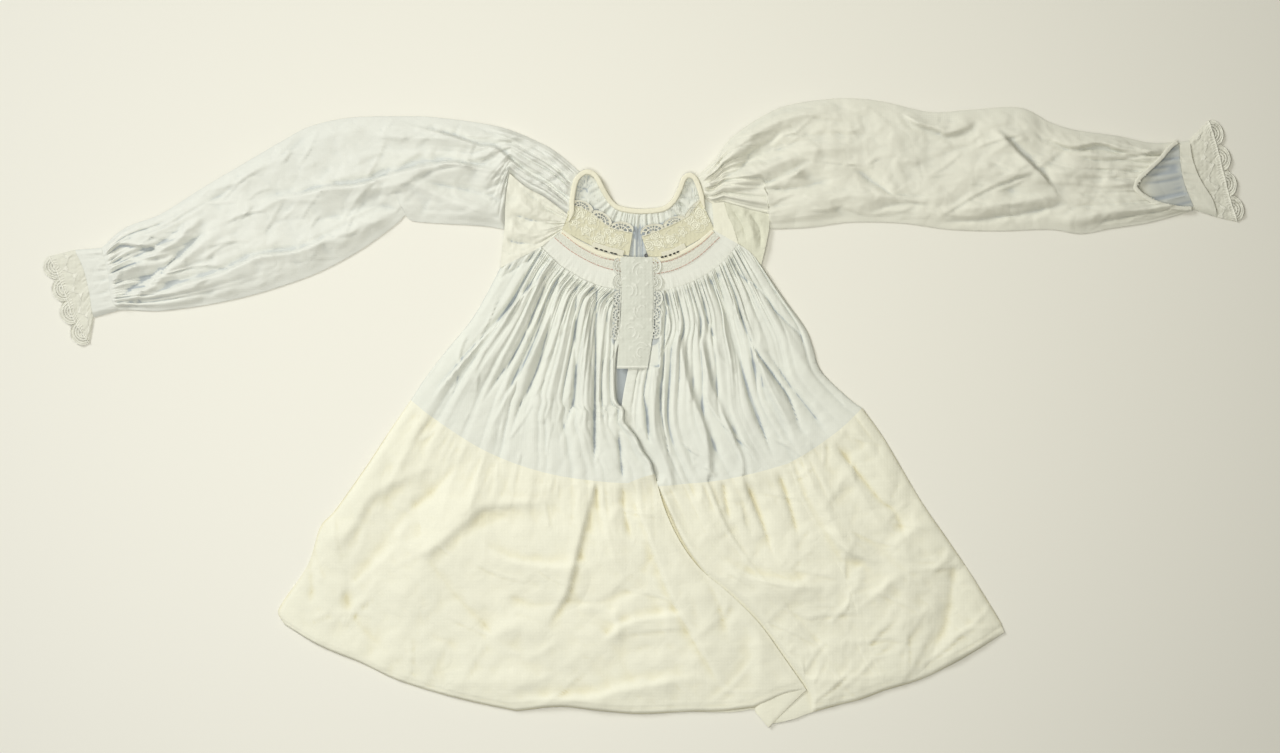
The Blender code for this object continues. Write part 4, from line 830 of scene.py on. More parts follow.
# ---------------------------------------------------------------- pieces
def back_panels():
    """The back: thin cotton above with the gathered neck, cream cotton below. Rows crowd towards the neck."""
    s = settings()
    rows, fine = 92, 600
    neck = [(-104, 277), (-99, 300), (-93, 324), (-83, 336), (-73, 336), (-63, 328), (-55, 312),
            (-45, 296), (-32, 286), (-3, 281), (28, 284), (43, 296), (52, 312), (57, 326), (64, 333),
            (71, 334), (78, 326), (85, 302)]
    top = join((SHOULDER_LEFT_TOP[::-1], 30), (neck, 216), (SHOULDER_RIGHT_TOP, 9), (GUSSET_RIGHT_TOP, 25))
    waist = join((SEAM_LEFT, 150), ([(-20, -95), (20, -92)], 18), (SEAM_MIDDLE, 70), (SEAM_RIGHT, 42))
    side_left = join((SHOULDER_LEFT_SIDE, 130), (ARMPIT_LEFT, 90), (SIDE_LEFT_UPPER, 380))
    side_right = join((GUSSET_RIGHT_SIDE, 40), (ARMPIT_RIGHT, 90), (SIDE_RIGHT_UPPER, 470))
    near_neck = np.unique(np.round(fine * np.linspace(0, 1, rows + 1) ** 1.4).astype(int))
    grid = coons(top, waist, side_left, side_right)[near_neck]
    x, y = grid[..., 0], grid[..., 1]
    sh, t = shares(grid)
    z = 1.3 + 0.6 * streaks(sh, t, 34, 21) + 0.7 * crumple(x, y, 60, 5)
    d, along = near_path(grid, BINDING_PATH, 60)
    inner = ease((y - 200) / 30) * ease((100 - np.abs(x + 9)) / 10)
    z = z + inner * (1.9 + pleats(along, np.abs(d), 400, 90, 9, 2.2, 0.95, 34, 60))
    side = ease((np.abs(x) - 120) / 40) * ease((260 - y) / 40)
    z = z + side * 1.8 * crumple(x, y, 30, 13)
    corner = ease((x - 80) / 5) * ease((108 - x) / 5) * ease((y - 250) / 10)
    z = np.clip(z, 0.75, 3.8) + 1.6 * corner
    # Painted shade: darker in the folds, in the opening under the jabot, in the neck slot with dark lines for
    # its gathers, above the neck at both sides and under the scalloped lace.
    hollow = painted_fold_shade(z, 0.55)
    painted_opening_shade = ease((x + 42) / 8) * ease((4 - x) / 8) * ease((y + 20) / 30) * ease((90 - y) / 20)
    slot = ease((x + 34) / 6) * ease((12 - x) / 6) * ease((y - 205) / 8) * ease((272 - y) / 20)
    painted_gather_lines = np.clip(2.2 * noise(x / 2.4, y / 60, 4), -1, 1) * ease((12 - np.abs(x + 9)) / 5)
    painted_hump_shade = ease((y - 292) / 20) * (0.34 * ease((-66 - x) / 12) + 0.15 * ease((x - 50) / 10))
    lace = painted_lace_shadow(grid, (LACE_TOP_LEFT, 1), (LACE_TOP_RIGHT, 1))
    lace = lace * ease((52 - x) / 12) * ease((x + 104) / 12)
    hollow = np.clip(0.62 * hollow + 0.95 * painted_opening_shade + slot * (0.8 + 0.45 * painted_gather_lines) + painted_hump_shade + 0.9 * lace, 0, 1)
    obj = surface("back_upper_cloth", raised(grid, z), thickness=s.cloth_thickness, extra={"hollow": hollow})
    dress(obj, white_cloth(), "white_cotton", "back_upper")
    cols, rows = 110, 40
    foot = resample(join((HEM_LEFT, 50), (HEM_MIDDLE, 45), ([(157, -414), (180, -428), (213, -428)], 12),
                         (HEM_PANEL, 20), (HEM_GORE, 23)), cols)
    grid = coons(resample(waist, cols), foot, resample(join((SIDE_LEFT_LOWER, 50), (CORNER_LEFT, 10)), rows),
                 resample(join((SIDE_RIGHT_LOWER, 54), (CORNER_RIGHT, 6)), rows))
    z = 1.25 + 0.6 * crumple(grid[..., 0], grid[..., 1], 110, 8)
    obj = surface("back_lower_cloth", raised(grid, np.clip(z, 0.7, 1.3)), thickness=s.cloth_thickness)
    dress(obj, cream_cloth(), "cream_cotton", "back_lower")


def rim(grid, left=0.0, right=0.0, top=0.0, foot=0.0):
    """0 on a named rim, rising to 1 at its reach in millimetres; a reach of 0 leaves that rim up."""
    along, down = run_along(grid), run_down(grid)
    rise = np.ones(grid.shape[:2])
    for reach, run in ((left, along), (right, along[:, -1:] - along), (top, down), (foot, down[-1:] - down)):
        if reach:
            part = np.clip(run / reach, 0, 1)
            rise = rise * np.sqrt(part * (2 - part))
    return rise


def run_along(grid):
    """Millimetres travelled along each row from its first column."""
    step = np.linalg.norm(np.diff(grid, axis=1), axis=2)
    return np.concatenate([np.zeros((grid.shape[0], 1)), np.cumsum(step, 1)], 1)


def run_down(grid):
    """Millimetres travelled down each column from its first row."""
    step = np.linalg.norm(np.diff(grid, axis=0), axis=2)
    return np.concatenate([np.zeros((1, grid.shape[1])), np.cumsum(step, 0)], 0)


def run_across(grid):
    """Length of each row in millimetres, one value a row."""
    return np.linalg.norm(np.diff(grid, axis=1), axis=2).sum(1)[:, None]


def meet_seam(grid, z, side):
    """Bring the first rows to the height of the white cloth at the waist seam, so folds run on over it."""
    place, height = SEAM_HEIGHTS[side]
    x = grid[0, :, 0]
    wanted = np.interp(x, place, height)
    own = 30 + 75 * np.clip(0.5 + 1.4 * noise(x / 16, x * 0, 3), 0, 1) ** 2
    if side == "left":
        own = own - (own - 12) * ease((x + 34) / 14)
    return z + (wanted - z[0])[None, :] * np.exp(-(run_down(grid) / own[None, :]) ** 1.3)


def skirt_height(grid, folds, **rims):
    """Thicker cream cotton: long soft folds, a few creases and a flattened hem."""
    t = shares(grid)[1]
    x, y = grid[..., 0], grid[..., 1]
    rise = rim(grid, **rims)
    down = run_down(grid)
    z = 1.8 + 5.2 * rise + 1.3 * folded(grid, folds, 0.05) * (0.2 + 0.8 * rise)
    z = z + (2.6 * crumple(x, y, 130, 4) + 1.8 * creases(x, y, 84, 9)) * rise
    z = z + 0.7 * crumple(x, y, 40, 14) + 0.6 * creases(x, y, 34, 19)
    z = z + crinkles(grid, 60, 33, 0.4, 1.6, 1.5, 0.9) * rise + 2.4 * (rumple(x, y, 74, 12) - 0.4) * rise
    radial = np.arctan2(x, 330 - y)
    gathers = 2.0 * streaks(radial * 1.9, t * 0.9, 10, 61, 1.2) * np.exp(-(down / 80) ** 1.5)
    return z + gathers + hem_relief(grid)


def front_height(grid, folds, seed, count, angle, **rims):
    """The gathered cotton of one front: loft, listed folds, gathers and fine creases."""
    sh, t = shares(grid)
    x, y = grid[..., 0], grid[..., 1]
    rise = rim(grid, **rims)
    down, span = run_down(grid), run_across(grid)
    z = 2.3 + 6.2 * rise + 1.35 * folded(grid, folds) * (0.2 + 0.8 * rise)
    z = z + pleats(sh, down, span, count, seed, 3.6, 0.95, 20, 190) * (0.3 + 0.7 * rise)
    z = z + 1.3 * streaks(sh, t, count * 0.3, seed + 7, 1.0) * (0.3 + 0.7 * np.exp(-down / 140.0)) * rise
    z = z + 1.0 * crumple(x, y, 54, seed + 2) * rise + 0.5 * creases(x, y, 30, seed + 5)
    z = z + 0.8 * crinkles(grid, 60, seed, angle, 0.5) * ease((down - 20) / 60)
    return z + 0.25 * creases(x, y, 11, seed + 6)


def below_jabot(grid, z):
    """Keep the cloth low where the jabot hangs over it."""
    x, y = grid[..., 0], grid[..., 1]
    inside = ease((x + 46) / 7) * ease((30 - x) / 7) * ease((y - 54) / 12)
    return np.minimum(z, 7.4 + (1 - inside) * 30)


def front_uppers():
    """The two gathered white fronts, each from its yoke half down to the waist seam."""
    s = settings()
    mat = white_cloth()
    rows = 140
    grid = coons(join((SHOULDER_FOOT_LEFT, 16), (GATHER_LEFT, 166)),
                 join((SEAM_LEFT[:-1] + [(-20, -98)], 160), (SEAM_FLAP, 22)),
                 smooth_path(SIDE_LEFT_UPPER, rows), smooth_path(LAP_EDGE, rows))
    z = front_height(grid, FRONT_LEFT_FOLDS, 31, 64, 1.15, left=34)
    sh, t = shares(grid)
    off = (1 - sh) * run_across(grid)
    crest = np.exp(-((off - 4) / 4.0) ** 2)
    z = z + crest * (1.5 + 1.5 * ease((t - 0.3) / 0.3))
    z = z + 3.0 * np.exp(-(off / 40) ** 2) * ease((t - 0.45) / 0.2)
    z = z + crest * 2.2 * noise(t * 26, sh * 3, 5) * ease((t - 0.5) / 0.1)
    z = z - 2.2 * np.exp(-(off / 1.6) ** 2)
    z = np.clip(below_jabot(grid, z), 2.2, 22)
    # Painted shade in the folds, and painted shadow beside the jabot's edging.
    hollow = np.maximum(painted_fold_shade(z), 0.85 * painted_lace_shadow(grid, (JABOT_EDGE_LEFT, -1)))
    obj = surface("front_upper_left_cloth", raised(grid, z), thickness=s.cloth_thickness,
                  extra={"hollow": hollow})
    dress(obj, mat, "white_cotton", "front_upper_left")
    SEAM_HEIGHTS["left"] = (grid[-1, :, 0], z[-1])
    grid = coons(join((GATHER_RIGHT, 168), (GUSSET_FOOT_RIGHT, 14)),
                 join((SEAM_UNDER, 128), (SEAM_RIGHT, 54)),
                 smooth_path(UNDER_EDGE, rows), smooth_path(SIDE_RIGHT_UPPER, rows))
    z = front_height(grid, FRONT_RIGHT_FOLDS, 52, 62, -1.15, right=34)
    sh = shares(grid)[0]
    z = z - 2.6 * np.exp(-(sh * run_across(grid) / 26) ** 2)
    z = np.clip(below_jabot(grid, under_lap(grid, LAP_EDGE, z)), 2.2, 20)
    # Painted shade in the folds, and painted shadow beside the jabot's edging.
    hollow = np.maximum(painted_fold_shade(z), 0.85 * painted_lace_shadow(grid, (JABOT_EDGE_RIGHT, 1)))
    obj = surface("front_upper_right_cloth", raised(grid, z), thickness=s.cloth_thickness,
                  extra={"hollow": hollow})
    dress(obj, mat, "white_cotton", "front_upper_right")
    SEAM_HEIGHTS["right"] = (grid[-1, :, 0], z[-1])
    SEAM_HEIGHTS["opening"] = (grid[:, 3], z[:, :10].max(1))


def skirt_panels():
    """The cream skirt front: one sheet that folds over at the flap's edge, and the gore at the right."""
    s = settings()
    mat = cream_cloth()
    rows = 114
    edge = smooth_path(FLAP_EDGE, rows)
    first = coons(join((SEAM_LEFT[:-1] + [(-20, -98)], 150), (SEAM_FLAP, 20)),
                  join((HEM_LEFT, 76), (FLAP_FOOT, 76), (FLAP_HEM, 18)),
                  join((SIDE_LEFT_LOWER, 98), (CORNER_LEFT, 16)), edge)
    z = skirt_height(first, SKIRT_FOLDS, left=36, foot=18)
    d, along = near_path(first, FLAP_EDGE)
    grown = ease(along / 0.25)
    z = z + 2.0 * grown * np.exp(-(np.abs(d) / 46.0) ** 2)
    z = z + (5.8 - z) * 0.8 * grown * np.exp(-(d / 9.0) ** 2)
    z = np.clip(meet_seam(first, z, "left"), 1.7, 22)
    inner = smooth_path(UNDER_FLAP, rows)
    second = coons(smooth_path(SEAM_UNDER, 96),
                   join(([(158, -418), (178, -434), (213, -428)], 18), (HEM_PANEL, 78)),
                   inner, smooth_path(PANEL_SEAM, rows))
    low = skirt_height(second, SKIRT_FOLDS[1:], foot=18)
    low = np.clip(meet_seam(second, under_lap(second, FLAP_EDGE + [(238, -426)], low), "right"), 1.7, 22)
    middle = coons(smooth_path([edge[0], inner[0]], 10), join((FLAP_TIP[:4], 7), (FLAP_TIP[3:], 3)),
                   edge, inner)[:, 1:-1]
    share = np.linspace(0, 1, 11)[None, 1:-1]
    top = z[:, -1:] - 1.0
    fold = top + (low[:, :1] + 0.9 - top) * ease(share * 1.4)
    grid = np.concatenate([first, middle, second], axis=1)
    z = np.concatenate([z, np.maximum(fold, low[:, :1] + 0.9), low], axis=1)
    # The point attribute holds painted shade in the folds.
    obj = surface("front_lower_centre_cloth", raised(grid, z), thickness=s.cloth_thickness,
                  extra={"hollow": painted_fold_shade(z)})
    dress(obj, mat, "cream_cotton", "front_lower_centre")
    panel = z[:, -1]
    grid = coons(smooth_path(SEAM_RIGHT, 60), smooth_path(HEM_GORE, 60), smooth_path(PANEL_SEAM, rows),
                 join((SIDE_RIGHT_LOWER, 107), (CORNER_RIGHT, 7)))
    z = meet_seam(grid, skirt_height(grid, GORE_FOLDS, right=36, foot=18), "right")
    off = shares(grid)[0] * run_across(grid)
    z = z + (panel - z[:, 0])[:, None] * np.exp(-(off / 26) ** 1.5) + 0.5 * np.exp(-((off - 2.5) / 2) ** 2)
    z = np.clip(z, 1.7, 22)
    # The point attribute holds painted shade in the folds.
    obj = surface("front_lower_side_cloth", raised(grid, z), thickness=s.cloth_thickness,
                  extra={"hollow": painted_fold_shade(z)})
    dress(obj, mat, "cream_cotton", "front_lower_side")


def yoke_pieces():
    """The smooth band above the gathers, its piping and the lace let into it, one half a side."""
    s = settings()
    plain = tinted("yoke", "yoke_cotton_weave", weave=0.5)
    for side, inner, outer, upper, lower in (
            ("left", YOKE_INNER_LEFT, GATHER_LEFT, RED_UPPER_LEFT, RED_LOWER_LEFT),
            ("right", YOKE_INNER_RIGHT, GATHER_RIGHT, RED_UPPER_RIGHT, RED_LOWER_RIGHT)):
        cols, rows = 124, 18
        a, b = smooth_path(inner, cols), smooth_path(outer, cols)
        grid = coons(a, b, smooth_path([a[0], b[0]], rows), smooth_path([a[-1], b[-1]], rows))
        sh = shares(grid)[0]
        up = run_down(grid[::-1])[::-1]
        z = 6.2 + 0.6 * crumple(grid[..., 0], grid[..., 1], 26, 3)
        z = z + pleats(sh, up, run_across(grid), 34, 71, 0.9, 1.3, 3.5, 3) - 0.5 * np.exp(-up / 1.2)
        # The point attribute holds painted shade in the folds, weaker than elsewhere.
        obj = surface("yoke_cloth_" + side, raised(grid, z), thickness=s.cloth_thickness,
                      extra={"hollow": 0.4 * painted_fold_shade(z)})
        dress(obj, plain, "white_cotton", "yoke_" + side)
        a, b = smooth_path(inner, 120), smooth_path(upper, 120)
        width = np.linalg.norm(a - b, axis=1).mean() * 0.86
        obj = ribbon("yoke_piping_cloth_" + side, (a + b) / 2, width, 6.3, height=1.4, crown=0.9,
                     ripple=0.15, seed=2)
        dress(obj, binding_cloth(), "cream_binding", "yoke_piping_" + side)
        cols, rows = 160, 14
        a, b = smooth_path(upper, cols), smooth_path(lower, cols)
        grid = coons(a, b, smooth_path([a[0], b[0]], rows), smooth_path([a[-1], b[-1]], rows))
        sh, t = shares(grid)
        length, width, repeat = 130, 13, 14.0
        run = sh * length
        bend = 0.26 * np.sin(run * 2 * np.pi / repeat)
        wave = np.abs(t - 0.5 - bend) * width
        leaf = np.abs(np.hypot((run % 7.0) - 3.5, (t - 0.5 + bend) * width) - 1.9)
        motif = np.clip(0.9 * np.exp(-(wave / 0.8) ** 2) + 0.8 * np.exp(-(leaf / 0.6) ** 2), 0, 1)
        z = 7.0 + 0.2 * motif + 0.4 * crumple(grid[..., 0], grid[..., 1], 22, 6)
        obj = surface("insertion_lace_" + side, raised(grid, z), thickness=EDGING_WALL,
                      extra={"motif": motif})
        mat = tinted("insertion", "insertion_lace_weave", weave=0.8, motif=(0.72, 0.72, 0.61), relief=0.4)
        dress(obj, mat, "grey_lace", "insertion_" + side)


def dashes(name, path, pitch, length, width, z, seed=0):
    """A run of short dashes along a path in one mesh, as stitches or as bars of painted shade: each is a
    tapered tube with six corners round.
    """
    fine = smooth_path(path, 400)
    run = np.concatenate([[0.0], np.cumsum(np.linalg.norm(np.diff(fine, axis=0), axis=1))])
    corners = ((-1, 0.0), (-0.7, 0.6), (0, 0.9), (0.7, 0.6), (1, 0.0), (0, -0.4))
    taper = np.array([0.5, 1, 1, 0.5])
    rows, cols = len(corners), len(taper)
    verts, faces = [], []
    for k in range(int(run[-1] / pitch)):
        at = (k + 0.5) * pitch + np.linspace(-0.5, 0.5, cols) * length
        at = at + 0.12 * pitch * math.sin(k * 2.7 + seed)
        line = np.column_stack([np.interp(at, run, fine[:, 0]), np.interp(at, run, fine[:, 1])])
        ahead = line[-1] - line[0]
        side = np.array([-ahead[1], ahead[0]]) / np.linalg.norm(ahead)
        base = k * rows * cols
        for r, (share, up) in enumerate(corners):
            verts.append(np.column_stack([line + side * (share * width / 2 * taper)[:, None],
                                          z + up * width * 0.6 * taper]))
            first, after = base + r * cols, base + (r + 1) % rows * cols
            for c in range(cols - 1):
                faces.append((first + c, first + c + 1, after + c + 1, after + c))
        faces.append(tuple(base + r * cols for r in range(rows)))
        faces.append(tuple(base + r * cols + cols - 1 for r in reversed(range(rows))))
    mesh = bpy.data.meshes.new(name)
    mesh.from_pydata((np.vstack(verts) * MM).tolist(), [], faces)
    obj = link(name, mesh)
    close_ends(obj)
    return obj


def red_stitching():
    """Red running stitches along the insertions, and black bars of painted shade where the openwork's holes
    are.
    """
    red = plain_material("red_thread", (0.56, 0.24, 0.18), 0.7)
    parts = [dashes("stitches", path, 2.9, 2.4, 0.75, 7.55)
             for path in (RED_UPPER_LEFT, RED_LOWER_LEFT, RED_UPPER_RIGHT, RED_LOWER_RIGHT)]
    dress(merged("red_stitching", parts), red, "grey_lace")
    # Near-black bars paint the shade seen through the openwork's holes.
    black = plain_material("black_thread", (0.025, 0.025, 0.02), 0.8)
    parts = [dashes("stitches", [(-68, 231), (-50, 225.5), (-28, 219.8)], 7.2, 5.0, 2.0, 8.6),
             dashes("stitches", [(24, 217), (38, 220.5), (55, 227.5)], 6.0, 4.0, 2.4, 8.6, 1)]
    dress(merged("openwork_bars", parts), black, "openwork")


def lace_panels():
    """Embroidered net beside the neck and the eyelet edging along its top."""
    mat = tinted("lace", "net_lace_weave", weave=0.9, motif=(0.83, 0.82, 0.665), relief=0.7)
    edge_mat = eyelet_cloth()
    for side, top, foot, high, area in (("left", LACE_TOP_LEFT, LACE_FOOT_LEFT, (9.5, 14.5), 0.00115),
                                        ("right", LACE_TOP_RIGHT, LACE_FOOT_RIGHT, (15.0, 4.5), 0.00082)):
        cols, rows = 92, 38
        a, b = smooth_path(top, cols), smooth_path(foot, cols)
        grid = coons(a, b, smooth_path([a[0], b[0]], rows), smooth_path([a[-1], b[-1]], rows))
        x, y = grid[..., 0], grid[..., 1]
        motif = flower_net(x, y)
        z = 5.6 + 0.25 * motif + 1.1 * crumple(x, y, 34, 17)
        obj = surface("lace_panel_net_" + side, raised(grid, z), thickness=LACE_WALL, extra={"motif": motif})
        dress(obj, mat, "net_lace", "lace_panel_" + side)
        obj = edging("lace_edging_net_" + side, top, 3, high, 6.3, 1)
        dress(obj, edge_mat, "eyelet_edging", "lace_edging_" + side)


def flower_net(x, y):
    """Scrolling embroidery on net: roses of filled petals with curling stems and leaves between them."""
    roses = ((-94, 266), (-79, 255), (-60, 243), (-43, 240), (-32, 243), (-48, 254), (-86, 279), (8, 234),
             (24, 236), (40, 242), (56, 252), (74, 262), (80, 280), (66, 270), (18, 248), (88, 268),
             (-70, 270), (-98, 281))
    mesh_size = 2.2
    net = 0.16 * (np.cos(x * 2 * np.pi / mesh_size) * np.cos(y * 2 * np.pi / mesh_size))
    out = np.zeros_like(x)
    for k, (cx, cy) in enumerate(roses):
        r = np.hypot(x - cx, (y - cy) * 1.1)
        a = np.arctan2(y - cy, x - cx) + k
        size = 1.0 + 0.4 * ((k * 7) % 5) / 4
        petals = (6.6 + 1.6 * np.cos(5 * a)) * size
        filled = 1 / (1 + np.exp((r - petals) * 2.0))
        veins = 0.62 + 0.38 * np.cos(r * 2 * np.pi / 3.1 + 1.4 * np.cos(3 * a))
        out = np.maximum(out, filled * veins)
        swirl = (10.2 + 1.8 * np.sin(3 * a + 1.2)) * size
        out = np.maximum(out, 0.75 * np.exp(-((r - swirl) / 0.8) ** 2) * (np.sin(a * 1.5 + k) > -0.2))
    return np.clip(out + net, 0, 1)


def cell_means(v):
    """The mean of each grid cell's four corners."""
    return (v[:-1, :-1] + v[1:, :-1] + v[1:, 1:] + v[:-1, 1:]) / 4


def dashed(turn, step, share):
    """True in the middle share of each step round a centre, so that rings of holes keep their bars."""
    return np.abs(((turn / step) % 1.0) - 0.5) < share


def edging(name, path, count, high, z, sign):
    """Scalloped eyelet edging on the left of a path (sign 1) or on its right (sign -1).

    count is the number of scallops, and high gives their height at the start and at the end.
    """
    cols, rows = (44 if count > 3 else 52) * count, 22
    line = smooth_path(path, cols)
    ahead = np.gradient(line, axis=0)
    ahead /= np.linalg.norm(ahead, axis=1)[:, None]
    side = np.column_stack([-ahead[:, 1], ahead[:, 0]]) * sign
    share = np.linspace(0, count, cols + 1)
    tall = np.linspace(*high, cols + 1)
    bump = tall * (0.36 + 0.64 * np.sqrt(np.abs(np.sin(np.pi * share))))
    t = np.linspace(0, 1, rows + 1)[:, None, None]
    grid = line[None] + side[None] * (bump[None, :, None] * t)
    pitch = np.linalg.norm(np.diff(line, axis=0), axis=1).sum() / count
    px = np.broadcast_to((((share % 1.0) - 0.5) * pitch)[None, :], grid.shape[:2])
    py = bump[None, :] * t[..., 0]
    size = tall[None, :] / 14.0
    r = np.hypot(px * 23 / pitch, py - 0.5) / size
    turn = np.arctan2(py - 0.5, px)
    rc, tc = cell_means(r), cell_means(turn)
    ring_one = (np.abs(rc - 4.4) < 1.5) & dashed(tc, np.pi / 4, 0.34)
    ring_two = (np.abs(rc - 9.0) < 1.45) & dashed(tc, np.pi / 7, 0.33)
    corner = np.hypot(np.abs(cell_means(px)) - pitch * 0.5, cell_means(py) - 2.6) < 1.5
    deep = cell_means(np.broadcast_to(bump[None, :], r.shape)) - cell_means(py)
    holes = ((ring_one | ring_two) & (deep > 1.3) & (cell_means(py) > 1.0)) | (corner & (deep > 0.8))
    motif = np.maximum(np.exp(-((r - 6.7) / 0.8) ** 2), np.exp(-((bump[None, :] - py) / 1.3) ** 2))
    height = z + 0.4 * motif + 0.8 * noise(grid[..., 0] / 11, grid[..., 1] / 11, 4)
    return surface(name, raised(grid, height), keep=~holes, thickness=EDGING_WALL, flip=sign > 0,
                   extra={"motif": np.clip(motif, 0, 1)})


def jabot_pieces():
    """The lace jabot with scalloped edging down both long sides."""
    mat = tinted("jabot", "jabot_lace_weave", weave=0.8, motif=(0.77, 0.775, 0.69), relief=0.5)
    edge_mat = tinted("jabot_edging", "jabot_edging_weave", weave=0.6, motif=(0.76, 0.77, 0.69), relief=0.5)
    cols, rows = 44, 150
    left, right = smooth_path(JABOT_LEFT, rows), smooth_path(JABOT_RIGHT, rows)
    grid = coons(smooth_path([left[0], right[0]], cols), smooth_path([left[-1], right[-1]], cols),
                 left, right)
    x, y = grid[..., 0], grid[..., 1]
    motif = fern_arcs(x + 9, y)
    sh, t = shares(grid)
    z = 8.8 + 0.45 * motif + 1.5 * crumple(x, y, 46, 2) + 0.9 * np.sin(np.pi * sh)
    z = z + 0.5 * noise(x / 9, y / 12, 3)
    hem = np.exp(-((t - 0.985) / 0.008) ** 2)
    obj = surface("jabot_lace", raised(grid, z + 0.4 * hem), thickness=LACE_WALL,
                  extra={"motif": np.maximum(motif, hem)})
    dress(obj, mat, "white_lace", "jabot")
    for side, path, sign in (("left", JABOT_EDGE_LEFT, -1), ("right", JABOT_EDGE_RIGHT, 1)):
        obj = edging("jabot_edging_net_" + side, path, 5, (12.5, 13.5), 8.6, sign)
        dress(obj, edge_mat, "eyelet_edging", "jabot_edging_" + side)


def fern_arcs(x, y):
    """Curled leaves of broken ribs, turned left and right in turn, with small petals round each."""
    out = np.zeros_like(x)
    for k, (cx, cy) in enumerate(((6, 196), (-9, 170), (8, 142), (-6, 112), (7, 84))):
        sign = 1 if k % 2 else -1
        a = np.arctan2(y - cy, (x - cx) * sign)
        r = np.hypot(x - cx, (y - cy) * 0.8)
        ribs = ease((np.cos((r - 0.5 * a) * 2 * np.pi / 5.2) + 0.2) / 1.0) * (np.abs(a - 0.4) < 1.9)
        leaf = ease((13.0 + 3.5 * np.sin(2 * a + k) - r) / 3.0) * ease((r - 2.0) / 2.0)
        petals = ease((np.cos(a * 6 + k) + 0.1) / 0.9) * np.exp(-((r - 16.0) / 2.4) ** 2)
        out = np.maximum(out, np.maximum(0.85 * ribs * leaf, 0.75 * petals))
    soft = 0.65 + 0.5 * noise(x / 7, y / 7, 6)
    return np.clip(out * soft + 0.12 * np.cos(x * 2.9) * np.cos(y * 2.9), 0, 1)


def shoulder_pieces():
    """The cream pieces between yoke and sleeves, and the gusset under the right arm."""
    s = settings()
    mat = tinted("shoulder", "shoulder_cotton_weave", weave=0.6, crease=7.0)
    rows, cols = 54, 76
    top = smooth_path(SHOULDER_LEFT_TOP, cols)
    foot = join(([(-113, 255), (-142, 232)], 31), (SHOULDER_FOOT_LEFT[::-1], 45))
    grid = coons(top, foot, smooth_path([(-104, 277), (-113, 255)], rows),
                 join((SHOULDER_LEFT_SIDE, 32), (ARMPIT_LEFT, 22)))
    x, y = grid[..., 0], grid[..., 1]
    sh, t = shares(grid)
    z = 5.6 + 2.2 * rumple(x, y, 30, 8) + 1.2 * folded(grid, SHOULDER_LEFT_FOLDS)
    z = z + 2.0 * crumple(x, y, 34, 6) + 1.6 * creases(x, y, 26, 2)
    z = z + 0.5 * creases(x, y, 10, 6) + pleats(t, sh * 88, 80, 14, 6, 1.6, 1.4, 14, 40)
    z = np.clip(z, 3.0, 13)
    # The point attribute holds painted shade in the folds.
    obj = surface("shoulder_left_cloth", raised(grid, z), thickness=s.cloth_thickness, flip=True,
                  extra={"hollow": painted_fold_shade(z)})
    dress(obj, mat, "cream_cotton", "shoulder_left")
    grid = coons(smooth_path(SHOULDER_RIGHT_TOP[1:], 26), smooth_path([(99, 256), (134, 236)], 26),
                 smooth_path([(97, 293), (99, 275), (99, 256)], 36), smooth_path(GUSSET_INNER_RIGHT, 36))
    z = 6.4 + 0.8 * crumple(grid[..., 0], grid[..., 1], 24, 7)
    obj = surface("shoulder_right_cloth", raised(grid, z), thickness=s.cloth_thickness)
    dress(obj, cream_cloth(), "cream_cotton", "shoulder_right")
    grid = coons(smooth_path(GUSSET_RIGHT_TOP, 50), smooth_path(GUSSET_FOOT_RIGHT, 50),
                 smooth_path(GUSSET_INNER_RIGHT, 60), join((GUSSET_RIGHT_SIDE, 16), (ARMPIT_RIGHT, 44)))
    x, y = grid[..., 0], grid[..., 1]
    z = 5.4 + 1.6 * rumple(x, y, 26, 4) + 1.2 * folded(grid, GUSSET_FOLDS)
    z = np.clip(z + 1.6 * crumple(x, y, 26, 9) + 1.0 * creases(x, y, 20, 3), 3.0, 12)
    # The point attribute holds painted shade in the folds.
    obj = surface("gusset_right_cloth", raised(grid, z), thickness=s.cloth_thickness,
                  extra={"hollow": painted_fold_shade(z)})
    dress(obj, tinted("gusset", "gusset_cotton", weave=0.6), "cream_binding", "gusset_right")


def flat_tube(name, grid, z, flip, thickness, extra, lower_rows=12, keep=None, under_z=None):
    """A flattened tube: the raised top grid, and below it an underside that is flat or lifted by under_z.

    extra holds pairs of point attributes, for the top and for the underside.
    """
    pick = np.linspace(grid.shape[0] - 1, 0, lower_rows + 2).round().astype(int)[1:-1]
    under = grid[pick]
    sway = 0.25 * noise(under[..., 0] / 30, under[..., 1] / 30, 2)
    lift = 0 if under_z is None else under_z[pick]
    points = np.concatenate([raised(grid, z), raised(under, UNDERSIDE + sway + lift)])
    mask = None
    if keep is not None:
        mask = np.ones((points.shape[0], points.shape[1] - 1), bool)
        mask[:grid.shape[0] - 1] = keep
    marks = {key: np.concatenate([top, foot[pick]]) for key, (top, foot) in extra.items()}
    return surface(name, points, keep=mask, thickness=thickness, closed=True, flip=flip, extra=marks)


def round_rim(rows, reach):
    """0 at both long sides, rising like a rounded fold to 1."""
    v = np.linspace(0, 1, rows)
    part = np.clip(np.minimum(v, 1 - v) / reach, 0, 1)
    return (0.3 * np.sqrt(part * (2 - part)) + 0.7 * ease(part))[:, None]


